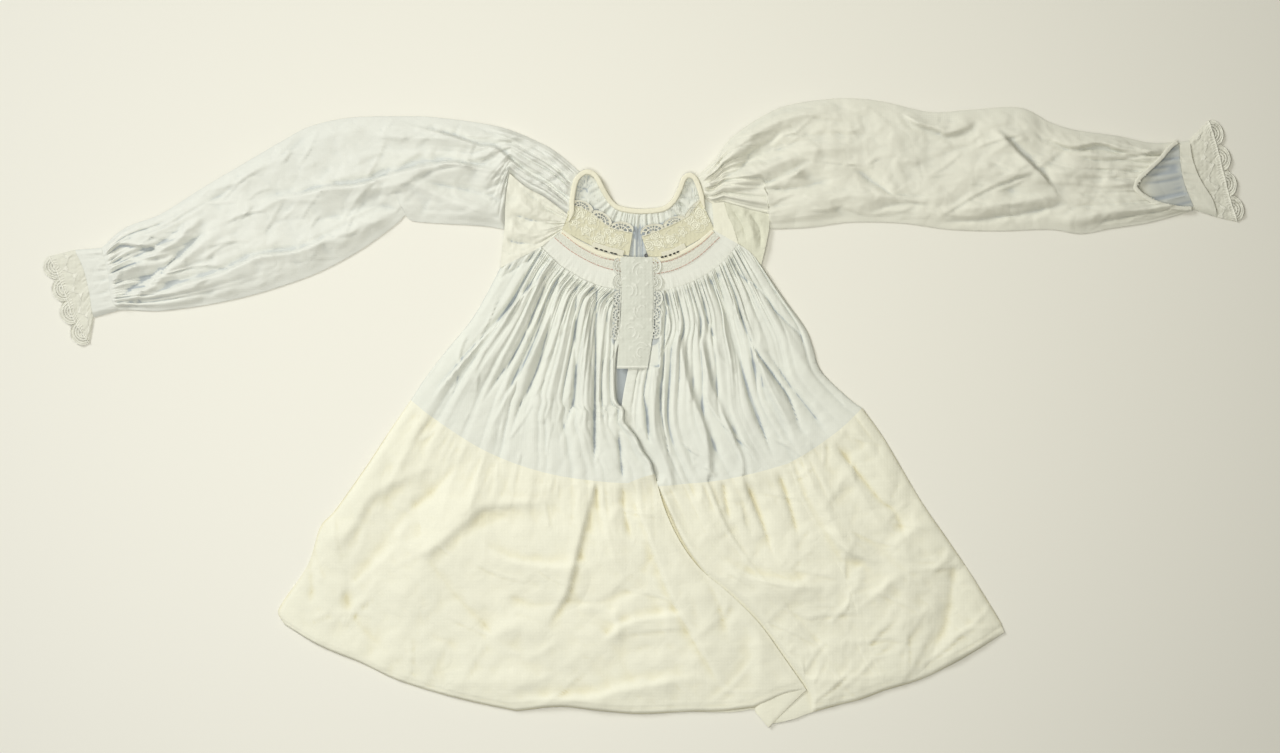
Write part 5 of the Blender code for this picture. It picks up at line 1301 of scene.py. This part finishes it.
def sleeve_height(grid, folds, seed, neck_top, angle, crisp=1.0):
    """A full sleeve: long folds given in a list, gathers at both ends and crisp creases between.

    The columns run from the neck to the cuff. It also gives each point's distance from the cuff.
    """
    sh, t = shares(grid)
    x, y = grid[..., 0], grid[..., 1]
    along = run_along(grid)
    left = along[:, -1:] - along
    across = np.linalg.norm(np.diff(grid, axis=0), axis=2).sum(0)[None, :]
    body = 6.4 + 2.6 * np.sin(np.pi * t) + 1.5 * folded(grid, folds, 0.2)
    body = body + pleats(t, along, across, 28, seed, 3.2, 1.1, 18, 100)
    body = body + pleats(t, left, across, 28, seed + 4, 3.8, 1.1, 20, 90)
    near_ends = 0.4 + np.exp(-left / 80) + 0.4 * np.exp(-along / 70)
    body = body + 1.6 * streaks(t, sh, 5.0, seed + 9, 5) * near_ends
    body = body + 2.4 * crumple(x, y, 70, seed) + 2.6 * creases(x, y, 66, seed + 21)
    body = body + crisp * crinkles(grid, 130, seed + 2, angle, 1.1, 0.9, 1.3)
    body = body + crisp * crinkles(grid, 36, seed + 3, angle, 0.7, 2.0, 2.0)
    body = body + 0.9 * creases(x + 0.4 * y, y, 29, seed + 3) + 0.35 * creases(x, y, 12, seed + 6)
    body = body + 4.2 * rumple(x, y, 52, seed + 30)
    body = np.clip(body - 1.2, 2.2, 21)
    body = np.minimum(body, neck_top + 14 * ease(along / 26))
    body = np.minimum(body, 6.8 + 14 * ease(left / 26))
    return 1.4 + (body - 1.4) * round_rim(len(grid), 0.13), left


def sleeve_pieces():
    """Both full sleeves, the open slit of the right one and the strip round it."""
    s = settings()
    mat, warm = sleeve_cloth("left"), sleeve_cloth("right")
    rows, cols = 84, 222
    top = smooth_path(SLEEVE_LEFT_TOP, cols)
    foot = resample(join((SHOULDER_LEFT_TOP, 40), (SHOULDER_LEFT_SIDE, 30), (SLEEVE_LEFT_FOOT, 210)), cols)
    grid = coons(top, foot, smooth_path(NECK_LEFT, rows), smooth_path(CUFF_LEFT_GATHER, rows))
    z, left = sleeve_height(grid, SLEEVE_LEFT_FOLDS, 41, 6.8, 0.35)
    # Painted shade in the folds, stronger towards the cuff.
    hollow = np.clip(painted_fold_shade(z) * (0.68 + 0.3 * np.exp(-(left / 120) ** 2)), 0, 1)
    obj = flat_tube("sleeve_left_cloth", grid, z, flip=True, thickness=s.cloth_thickness,
                    extra={"hollow": (hollow, 0 * z)})
    dress(obj, mat, "white_cotton", "sleeve_left")
    top = smooth_path(SLEEVE_RIGHT_TOP, cols)
    foot = resample(join((SHOULDER_RIGHT_TOP, 20), (GUSSET_RIGHT_TOP, 20), (GUSSET_RIGHT_SIDE, 10),
                         (SLEEVE_RIGHT_FOOT, 230)), cols)
    grid = coons(top, foot, smooth_path(NECK_RIGHT, rows), smooth_path(CUFF_RIGHT_GATHER, rows))
    z, left = sleeve_height(grid, SLEEVE_RIGHT_FOLDS, 77, 6.8, -0.1, 0.9)
    ring = np.vstack([smooth_path(SLEEVE_SLIT, 60), [(790, 288), (790, 377)]])
    keep = ~in_outline(cell_means(grid), ring)
    t = shares(grid)[1]
    # Painted shade: in the folds of the top, and on the underside inside the open slit, darker along its
    # gathers.
    near = np.exp(-(left / 75) ** 4)
    inside = near * (2.4 + pleats(t, left, 100, 26, 19, 2.6, 1.3, 26, 50)) * round_rim(rows + 1, 0.25)
    shade = np.clip(near * (0.8 + 0.5 * painted_fold_shade(inside, 0.5)), 0, 1)
    obj = flat_tube("sleeve_right_cloth", grid, z, flip=False, thickness=s.cloth_thickness, keep=keep,
                    extra={"hollow": (0.68 * painted_fold_shade(z), shade)}, lower_rows=30,
                    under_z=np.maximum(inside, 0))
    dress(obj, warm, "white_cotton", "sleeve_right")
    slit = smooth_path([(748, 379), (738, 372), (724, 356), (707, 340), (695, 329), (688, 316), (700, 303),
                        (722, 292), (752, 286), (768, 286)], 120)
    run = np.linspace(0, 1, 121)
    z = 9.5 - 4.5 * np.abs(2 * run - 1) ** 3
    obj = ribbon("sleeve_slit_strip", slit, 6.0, z, height=1.3, crown=0.9, ripple=0.5, seed=5)
    dress(obj, warm, "white_cotton", "sleeve_slit_binding")


def in_outline(points, ring):
    """True for the points inside a closed outline."""
    x, y = points[..., 0], points[..., 1]
    hit = np.zeros(x.shape, bool)
    for (x0, y0), (x1, y1) in zip(ring, np.roll(ring, -1, 0)):
        if y0 == y1:
            continue
        crosses = (y0 > y) != (y1 > y)
        hit ^= crosses & (x < (x1 - x0) * (y - y0) / (y1 - y0) + x0)
    return hit


def cuff_pieces():
    """The narrow gathered bands at the wrists, each with its flared lace."""
    s = settings()
    for side, gather, seam, cord in (("left", CUFF_LEFT_GATHER, CUFF_LEFT_SEAM, LACE_LEFT_CORD),
                                     ("right", CUFF_RIGHT_GATHER, CUFF_RIGHT_SEAM, LACE_RIGHT_CORD)):
        flip = side == "left"
        seed = 45 if flip else 81
        rows, cols = 60, 30
        near, far = smooth_path(gather, rows), smooth_path(seam, rows)
        grid = coons(smooth_path([near[0], far[0]], cols), smooth_path([near[-1], far[-1]], cols), near, far)
        sh, t = shares(grid)
        body = 6.0 + 0.8 * crumple(grid[..., 0], grid[..., 1], 22, 4)
        body = body + pleats(t, sh * 36, 95, 24, seed, 1.6, 1.3, 6, 12)
        z = 1.4 + (np.clip(body, 3, 9) - 1.4) * round_rim(rows + 1, 0.08)
        # Painted shade in the folds of the top; none on the underside.
        obj = flat_tube("cuff_cloth_" + side, grid, z, flip, thickness=s.cloth_thickness,
                        extra={"hollow": (painted_fold_shade(z), 0 * z)})
        dress(obj, sleeve_cloth(side), "white_cotton", "cuff_" + side)
        cuff_lace(side, far, cord, flip)


def cuff_lace(side, seam_line, cord_points, flip):
    """Flared lace: netted ground with scrolls, a cord and four scallops of concentric arcs."""
    rows, cols = 148, 50
    near = resample(seam_line, rows)
    cord_line = smooth_path(cord_points, rows)
    ahead = np.gradient(cord_line, axis=0)
    ahead /= np.linalg.norm(ahead, axis=1)[:, None]
    out = np.column_stack([-ahead[:, 1], ahead[:, 0]]) * (-1 if side == "left" else 1)
    count, outer = 4, 20
    share = np.linspace(0, count, rows + 1)
    scallop = 14.5 if side == "left" else 12.5
    bump = 2.0 + scallop * np.sqrt(np.abs(np.sin(np.pi * share)))
    rim_line = cord_line + out * bump[:, None]
    inner = cols - outer
    first = coons(smooth_path([near[0], cord_line[0]], inner), smooth_path([near[-1], cord_line[-1]], inner),
                  near, cord_line)
    steps = np.linspace(0, 1, outer + 1)[1:]
    second = cord_line[:, None] + (rim_line - cord_line)[:, None] * steps[None, :, None]
    grid = np.concatenate([first, second], 1)
    sh, t = shares(grid)
    inside = -np.linalg.norm(first - cord_line[:, None], axis=2)
    beyond = np.concatenate([inside, bump[:, None] * steps[None, :]], 1)
    length = np.linalg.norm(np.diff(cord_line, axis=0), axis=1).sum()
    px = ((t * count) % 1.0 - 0.5) * length / count
    r = np.hypot(px, beyond + 2)
    ring = 3.6
    arcs = (0.5 + 0.5 * np.cos(r * 2 * np.pi / ring)) * (beyond > -7) * (r < 18)
    cord = np.exp(-(beyond / 1.2) ** 2)
    wave = beyond + 18 + 5 * np.sin(t * length / 5.5)
    flower = 0.9 * (np.hypot(((t * length) % 17) - 8.5, wave * 0.9) < 3.4)
    scroll = np.maximum(np.exp(-(wave / 0.9) ** 2), flower)
    border = np.exp(-((bump[:, None] - beyond) / 1.2) ** 2)
    net = 0.22 * np.cos(grid[..., 0] * 2.6) * np.cos(grid[..., 1] * 2.6)
    motif = np.clip(np.maximum.reduce([0.75 * arcs, cord, 0.8 * scroll * (beyond < -6), border]) + net, 0, 1)
    body = 3.8 + 1.6 * crumple(grid[..., 0], grid[..., 1], 34, 3) + 2.0 * streaks(t, sh, 6, 8, 2)
    body = body + 0.3 * motif
    z = 1.3 + (np.clip(body, 2.4, 8.5) - 1.3) * round_rim(rows + 1, 0.05) + 0.9 * cord
    rc, dc = cell_means(r), cell_means(beyond)
    turn = np.arctan2(dc + 2, cell_means(px))
    gaps = (np.abs(rc % ring - ring / 2) < 0.5) & (dc > 0.8) & (rc < 15) & (((turn / 0.16) % 1.0) < 0.55)
    obj = flat_tube("cuff_lace_net_" + side, grid, z, flip, lower_rows=24, thickness=LACE_WALL, keep=~gaps,
                    extra={"motif": (motif, motif)})
    mat = tinted("cuff_lace", "cuff_lace_weave", weave=0.9, motif=(0.80, 0.79, 0.69), relief=0.6)
    dress(obj, mat, "cuff_lace", "cuff_lace_" + side)


def binding_and_plackets():
    """The neck binding, the facings of the opening and the two tabs of openwork."""
    path = smooth_path([(-103, 268)] + BINDING_PATH + [(87, 286)], 420)
    x, y = path[:, 0], path[:, 1]
    back = np.clip((320 - y) / 30, 0, 1) * (np.abs(x + 6) < 62)
    run = np.linspace(0, 1, 421)
    ends = ease(run / 0.05) * ease((1 - run) / 0.05)
    low = (7.6 - 4.9 * ease(back)) * (0.75 + 0.25 * ends)
    obj = ribbon("neck_binding_strip", path, 7.4 * (0.35 + 0.65 * ends), low, height=2.2, crown=1.4, steps=9,
                 ripple=0.35, seed=4)
    dress(obj, binding_cloth(), "cream_binding", "neck_binding")
    white = white_cloth()
    left = smooth_path([(-22, 150), (-32, 110), (-39, 86), (-41, 60), (-40, 18), (-28, -4), (-19, -26),
                        (-8, -40)], 160)
    ends = ease((1 - np.linspace(0, 1, 161)) / 0.2)
    obj = ribbon("placket_left_strip", left, 2 + 4.0 * ends, 6.0 + 0.4 * ends, height=1.6, crown=0.9,
                 ripple=0.4, seed=6)
    dress(obj, white, "white_cotton", "placket_left")
    place, high = SEAM_HEIGHTS["opening"]
    shown = (place[:, 1] < 108) & (place[:, 1] > -30)
    line = smooth_path(place[shown][::6] + np.array([2.0, 0.0]), 90)
    rise = np.interp(-line[:, 1], -place[:, 1], high)
    obj = ribbon("placket_right_strip", line, 13.0, rise - 0.9, height=1.4, crown=0.5, steps=12,
                 ripple=0.6, seed=8)
    dress(obj, white, "white_cotton", "placket_right")
    for side, line in (("left", [(-70, 235.5), (-50, 229), (-26, 223)]),
                       ("right", [(27, 221), (43, 225.5), (60, 234)])):
        obj = ribbon("openwork_tab_strip_" + side, smooth_path(line, 60), 8.0, 6.6, height=0.9, crown=0.4,
                     seed=3)
        dress(obj, eyelet_cloth(), "openwork", "openwork_tab_" + side)


def press_stud_piece():
    """A small dished metal disc at the foot of the right lace panel."""
    bpy.ops.object.select_all(action="DESELECT")
    bpy.ops.mesh.primitive_cylinder_add(vertices=24, radius=STUD["radius"] * MM, depth=STUD["height"] * MM,
                                        location=[at * MM for at in STUD["place"]])
    obj = bpy.context.object
    obj.name = "press_stud_disc"
    bpy.ops.object.mode_set(mode="EDIT")
    bpy.ops.mesh.select_all(action="DESELECT")
    bm = bmesh.from_edit_mesh(obj.data)
    for face in bm.faces:
        face.select_set(face.normal.z > 0.9)
    bmesh.update_edit_mesh(obj.data)
    bpy.ops.mesh.inset(thickness=STUD["rim"] * MM, depth=0.0)
    bpy.ops.mesh.inset(thickness=0.3 * MM, depth=-STUD["dish"] * MM)
    bpy.ops.object.mode_set(mode="OBJECT")
    bevel = obj.modifiers.new("soft_edge", "BEVEL")
    bevel.width = STUD["edge"] * MM
    bevel.segments = 2
    apply_all(obj)
    bpy.ops.object.transform_apply(location=True, rotation=True, scale=True)
    bpy.ops.object.shade_smooth_by_angle(angle=STUD_ANGLE)
    dress(obj, plain_material("dull_dark_metal", (0.11, 0.112, 0.115), 0.5, 0.7), "dark_metal", "press_stud")


def stage_and_light():
    """A pale floor, a window at the upper left, a cool and a warm light above, and a camera looking down."""
    scene = bpy.context.scene
    s = settings()
    mesh = bpy.data.meshes.new("floor")
    bm = bmesh.new()
    bmesh.ops.create_grid(bm, x_segments=2, y_segments=2, size=FLOOR_HALF)
    bmesh.ops.translate(bm, verts=bm.verts[:], vec=(0, 0, -FLOOR_DROP))
    bm.to_mesh(mesh)
    bm.free()
    floor = link("floor", mesh)
    mat = bpy.data.materials.new("pale_backdrop")
    mat.use_nodes = True
    shader = mat.node_tree.nodes["Principled BSDF"]
    shader.inputs["Base Color"].default_value = FLOOR_COLOUR
    shader.inputs["Roughness"].default_value = 0.95
    shader.inputs["Specular IOR Level"].default_value = 0.1
    mesh.materials.append(mat)
    world = bpy.data.worlds.new("studio")
    world.use_nodes = True
    background = world.node_tree.nodes["Background"]
    background.inputs["Color"].default_value = AMBIENT_COLOUR
    background.inputs["Strength"].default_value = s.ambient
    scene.world = world
    for name, place, size, power, colour, target in (
            ("window", (-4.0, 3.4, 3.4), 2.0, s.key_power, (0.97, 0.985, 1.0), (-0.1, 0.0)),
            ("ceiling_cool", (-0.5, -0.3, 1.9), 1.3, s.fill_power * 0.5, (0.985, 0.99, 1.0), (-0.5, -0.2999)),
            ("ceiling_warm", (0.06, 0.3, 1.9), 1.3, s.fill_power * 0.5, (1.0, 0.97, 0.83), (0.06, 0.3001))):
        data = bpy.data.lights.new(name, "AREA")
        data.shape = "SQUARE"
        data.size = size
        data.energy = power
        data.color = colour
        lamp = bpy.data.objects.new(name, data)
        lamp.location = place
        aim = np.array((*target, 0.0)) - np.array(place)
        lamp.rotation_euler = (math.atan2(math.hypot(aim[0], aim[1]), -aim[2]), 0.0,
                               math.atan2(aim[1], aim[0]) - math.pi / 2)
        scene.collection.objects.link(lamp)
    data = bpy.data.cameras.new("overhead")
    data.sensor_width = SENSOR
    data.lens = SENSOR * CAMERA_HEIGHT / VIEW_WIDTH
    data.clip_end = 20.0
    camera = bpy.data.objects.new("overhead", data)
    camera.location = (*CAMERA_PLACE, CAMERA_HEIGHT)
    scene.collection.objects.link(camera)
    scene.camera = camera
    scene.view_settings.view_transform = "Standard"


# ---------------------------------------------------------------- settings, operators and panel
def colour_property(name, value, words):
    """A colour that a user may change."""
    return FloatVectorProperty(name=name, description=words, subtype="COLOR", size=3, min=0.0, max=1.0,
                               default=value)


def power_property(name, value, words):
    """A light's power that a user may change."""
    return FloatProperty(name=name, description=words, subtype="POWER", unit="POWER", min=0.0, default=value)


class ShirtSettings(bpy.types.PropertyGroup):
    """Colours of the cloths, the cotton's wall and the strength of the lights."""
    white: colour_property("White cotton", (0.735, 0.745, 0.665), "Thin cotton of the upper body")
    sleeve: colour_property("Sleeve cotton", (0.745, 0.75, 0.68), "Thin cotton of the left sleeve and cuff")
    sleeve_right: colour_property("Right sleeve cotton", (0.745, 0.735, 0.63), "Yellower cotton of that side")
    yoke: colour_property("Yoke cotton", (0.75, 0.755, 0.675), "Smooth band above the gathers")
    shoulder: colour_property("Shoulder cotton", (0.77, 0.76, 0.65), "Piece between left sleeve and yoke")
    cream: colour_property("Cream cotton", (0.81, 0.795, 0.655), "Unbleached cotton of the skirt")
    binding: colour_property("Binding", (0.80, 0.77, 0.61), "Narrow strip round the neck")
    gusset: colour_property("Gusset", (0.69, 0.685, 0.55), "Piece under the right arm")
    lace: colour_property("Net lace", (0.665, 0.64, 0.47), "Ground of the neck panels")
    insertion: colour_property("Insertion lace", (0.69, 0.69, 0.60), "Narrow lace between the red stitches")
    jabot: colour_property("Jabot lace", (0.655, 0.665, 0.58), "Ground of the jabot")
    jabot_edging: colour_property("Jabot edging", (0.69, 0.695, 0.61), "Scalloped edging of the jabot")
    edging: colour_property("Eyelet edging", (0.71, 0.69, 0.56), "Scalloped edging of the neck lace")
    cuff_lace: colour_property("Cuff lace", (0.715, 0.705, 0.60), "Ground of the cuff lace")
    cloth_thickness: FloatProperty(name="Cloth thickness", description="Wall of the cotton, in millimetres",
                                   default=0.6, min=0.2, max=1.5)
    key_power: power_property("Window power", 216.0, "Power of the main light")
    fill_power: power_property("Ceiling power", 31.0, "Power of the even light from above")
    ambient: FloatProperty(name="Ambient", description="Strength of the light from all round", default=0.10,
                           min=0.0, max=3.0, subtype="FACTOR")


class SHIRT_OT_stage(bpy.types.Operator):
    """Lay the floor and set the lights and the camera"""
    bl_idname = "shirt.stage"
    bl_label = "Stage"

    def execute(self, context):
        stage_and_light()
        return {"FINISHED"}


class SHIRT_OT_back(bpy.types.Operator):
    """Make the two flat back panels"""
    bl_idname = "shirt.back"
    bl_label = "Back"

    def execute(self, context):
        back_panels()
        return {"FINISHED"}


class SHIRT_OT_front_upper(bpy.types.Operator):
    """Make the gathered white fronts"""
    bl_idname = "shirt.front_upper"
    bl_label = "Upper fronts"

    def execute(self, context):
        front_uppers()
        return {"FINISHED"}


class SHIRT_OT_skirt(bpy.types.Operator):
    """Make the cream front panels with the folded flap"""
    bl_idname = "shirt.skirt"
    bl_label = "Skirt fronts"

    def execute(self, context):
        skirt_panels()
        return {"FINISHED"}


class SHIRT_OT_yoke(bpy.types.Operator):
    """Make the yoke, its piping and its insertion lace"""
    bl_idname = "shirt.yoke"
    bl_label = "Yoke"

    def execute(self, context):
        yoke_pieces()
        return {"FINISHED"}


class SHIRT_OT_lace(bpy.types.Operator):
    """Make the net lace panels and their edging"""
    bl_idname = "shirt.lace"
    bl_label = "Neck lace"

    def execute(self, context):
        lace_panels()
        return {"FINISHED"}


class SHIRT_OT_jabot(bpy.types.Operator):
    """Make the jabot and its edgings"""
    bl_idname = "shirt.jabot"
    bl_label = "Jabot"

    def execute(self, context):
        jabot_pieces()
        return {"FINISHED"}


class SHIRT_OT_stitching(bpy.types.Operator):
    """Make the red stitches and the black bars of painted shade in the openwork"""
    bl_idname = "shirt.stitching"
    bl_label = "Stitching"

    def execute(self, context):
        red_stitching()
        return {"FINISHED"}


class SHIRT_OT_shoulders(bpy.types.Operator):
    """Make the shoulder pieces and the gusset"""
    bl_idname = "shirt.shoulders"
    bl_label = "Shoulders"

    def execute(self, context):
        shoulder_pieces()
        return {"FINISHED"}


class SHIRT_OT_sleeves(bpy.types.Operator):
    """Make the full sleeves and the slit's strip"""
    bl_idname = "shirt.sleeves"
    bl_label = "Sleeves"

    def execute(self, context):
        sleeve_pieces()
        return {"FINISHED"}


class SHIRT_OT_cuffs(bpy.types.Operator):
    """Make the cuffs and their lace"""
    bl_idname = "shirt.cuffs"
    bl_label = "Cuffs"

    def execute(self, context):
        cuff_pieces()
        return {"FINISHED"}


class SHIRT_OT_bindings(bpy.types.Operator):
    """Make the neck binding, the plackets and the tabs"""
    bl_idname = "shirt.bindings"
    bl_label = "Bindings"

    def execute(self, context):
        binding_and_plackets()
        return {"FINISHED"}


class SHIRT_OT_stud(bpy.types.Operator):
    """Make the press stud"""
    bl_idname = "shirt.stud"
    bl_label = "Press stud"

    def execute(self, context):
        press_stud_piece()
        return {"FINISHED"}


MAKERS = (SHIRT_OT_stage, SHIRT_OT_back, SHIRT_OT_front_upper, SHIRT_OT_skirt,
          SHIRT_OT_yoke, SHIRT_OT_lace, SHIRT_OT_jabot, SHIRT_OT_stitching,
          SHIRT_OT_shoulders, SHIRT_OT_sleeves, SHIRT_OT_cuffs, SHIRT_OT_bindings,
          SHIRT_OT_stud)


class SHIRT_PT_panel(bpy.types.Panel):
    """Lists every operator in order, then the sizes and colours."""
    bl_label = "Folk shirt"
    bl_idname = "SHIRT_PT_panel"
    bl_space_type = "VIEW_3D"
    bl_region_type = "UI"
    bl_category = "Folk shirt"

    def draw(self, context):
        for maker in MAKERS:
            self.layout.operator(maker.bl_idname)
        for key in ShirtSettings.__annotations__:
            self.layout.prop(context.scene.folk_shirt, key)


def register():
    """Register the settings, the operators and the panel."""
    for cls in (ShirtSettings, *MAKERS, SHIRT_PT_panel):
        bpy.utils.register_class(cls)
    bpy.types.Scene.folk_shirt = PointerProperty(type=ShirtSettings)


def unregister():
    """Remove them again."""
    del bpy.types.Scene.folk_shirt
    for cls in reversed((ShirtSettings, *MAKERS, SHIRT_PT_panel)):
        bpy.utils.unregister_class(cls)


def main():
    """Make every piece in order."""
    register()
    for maker in MAKERS:
        group, call = maker.bl_idname.split(".")
        getattr(getattr(bpy.ops, group), call)()


if __name__ == "__main__":
    main()
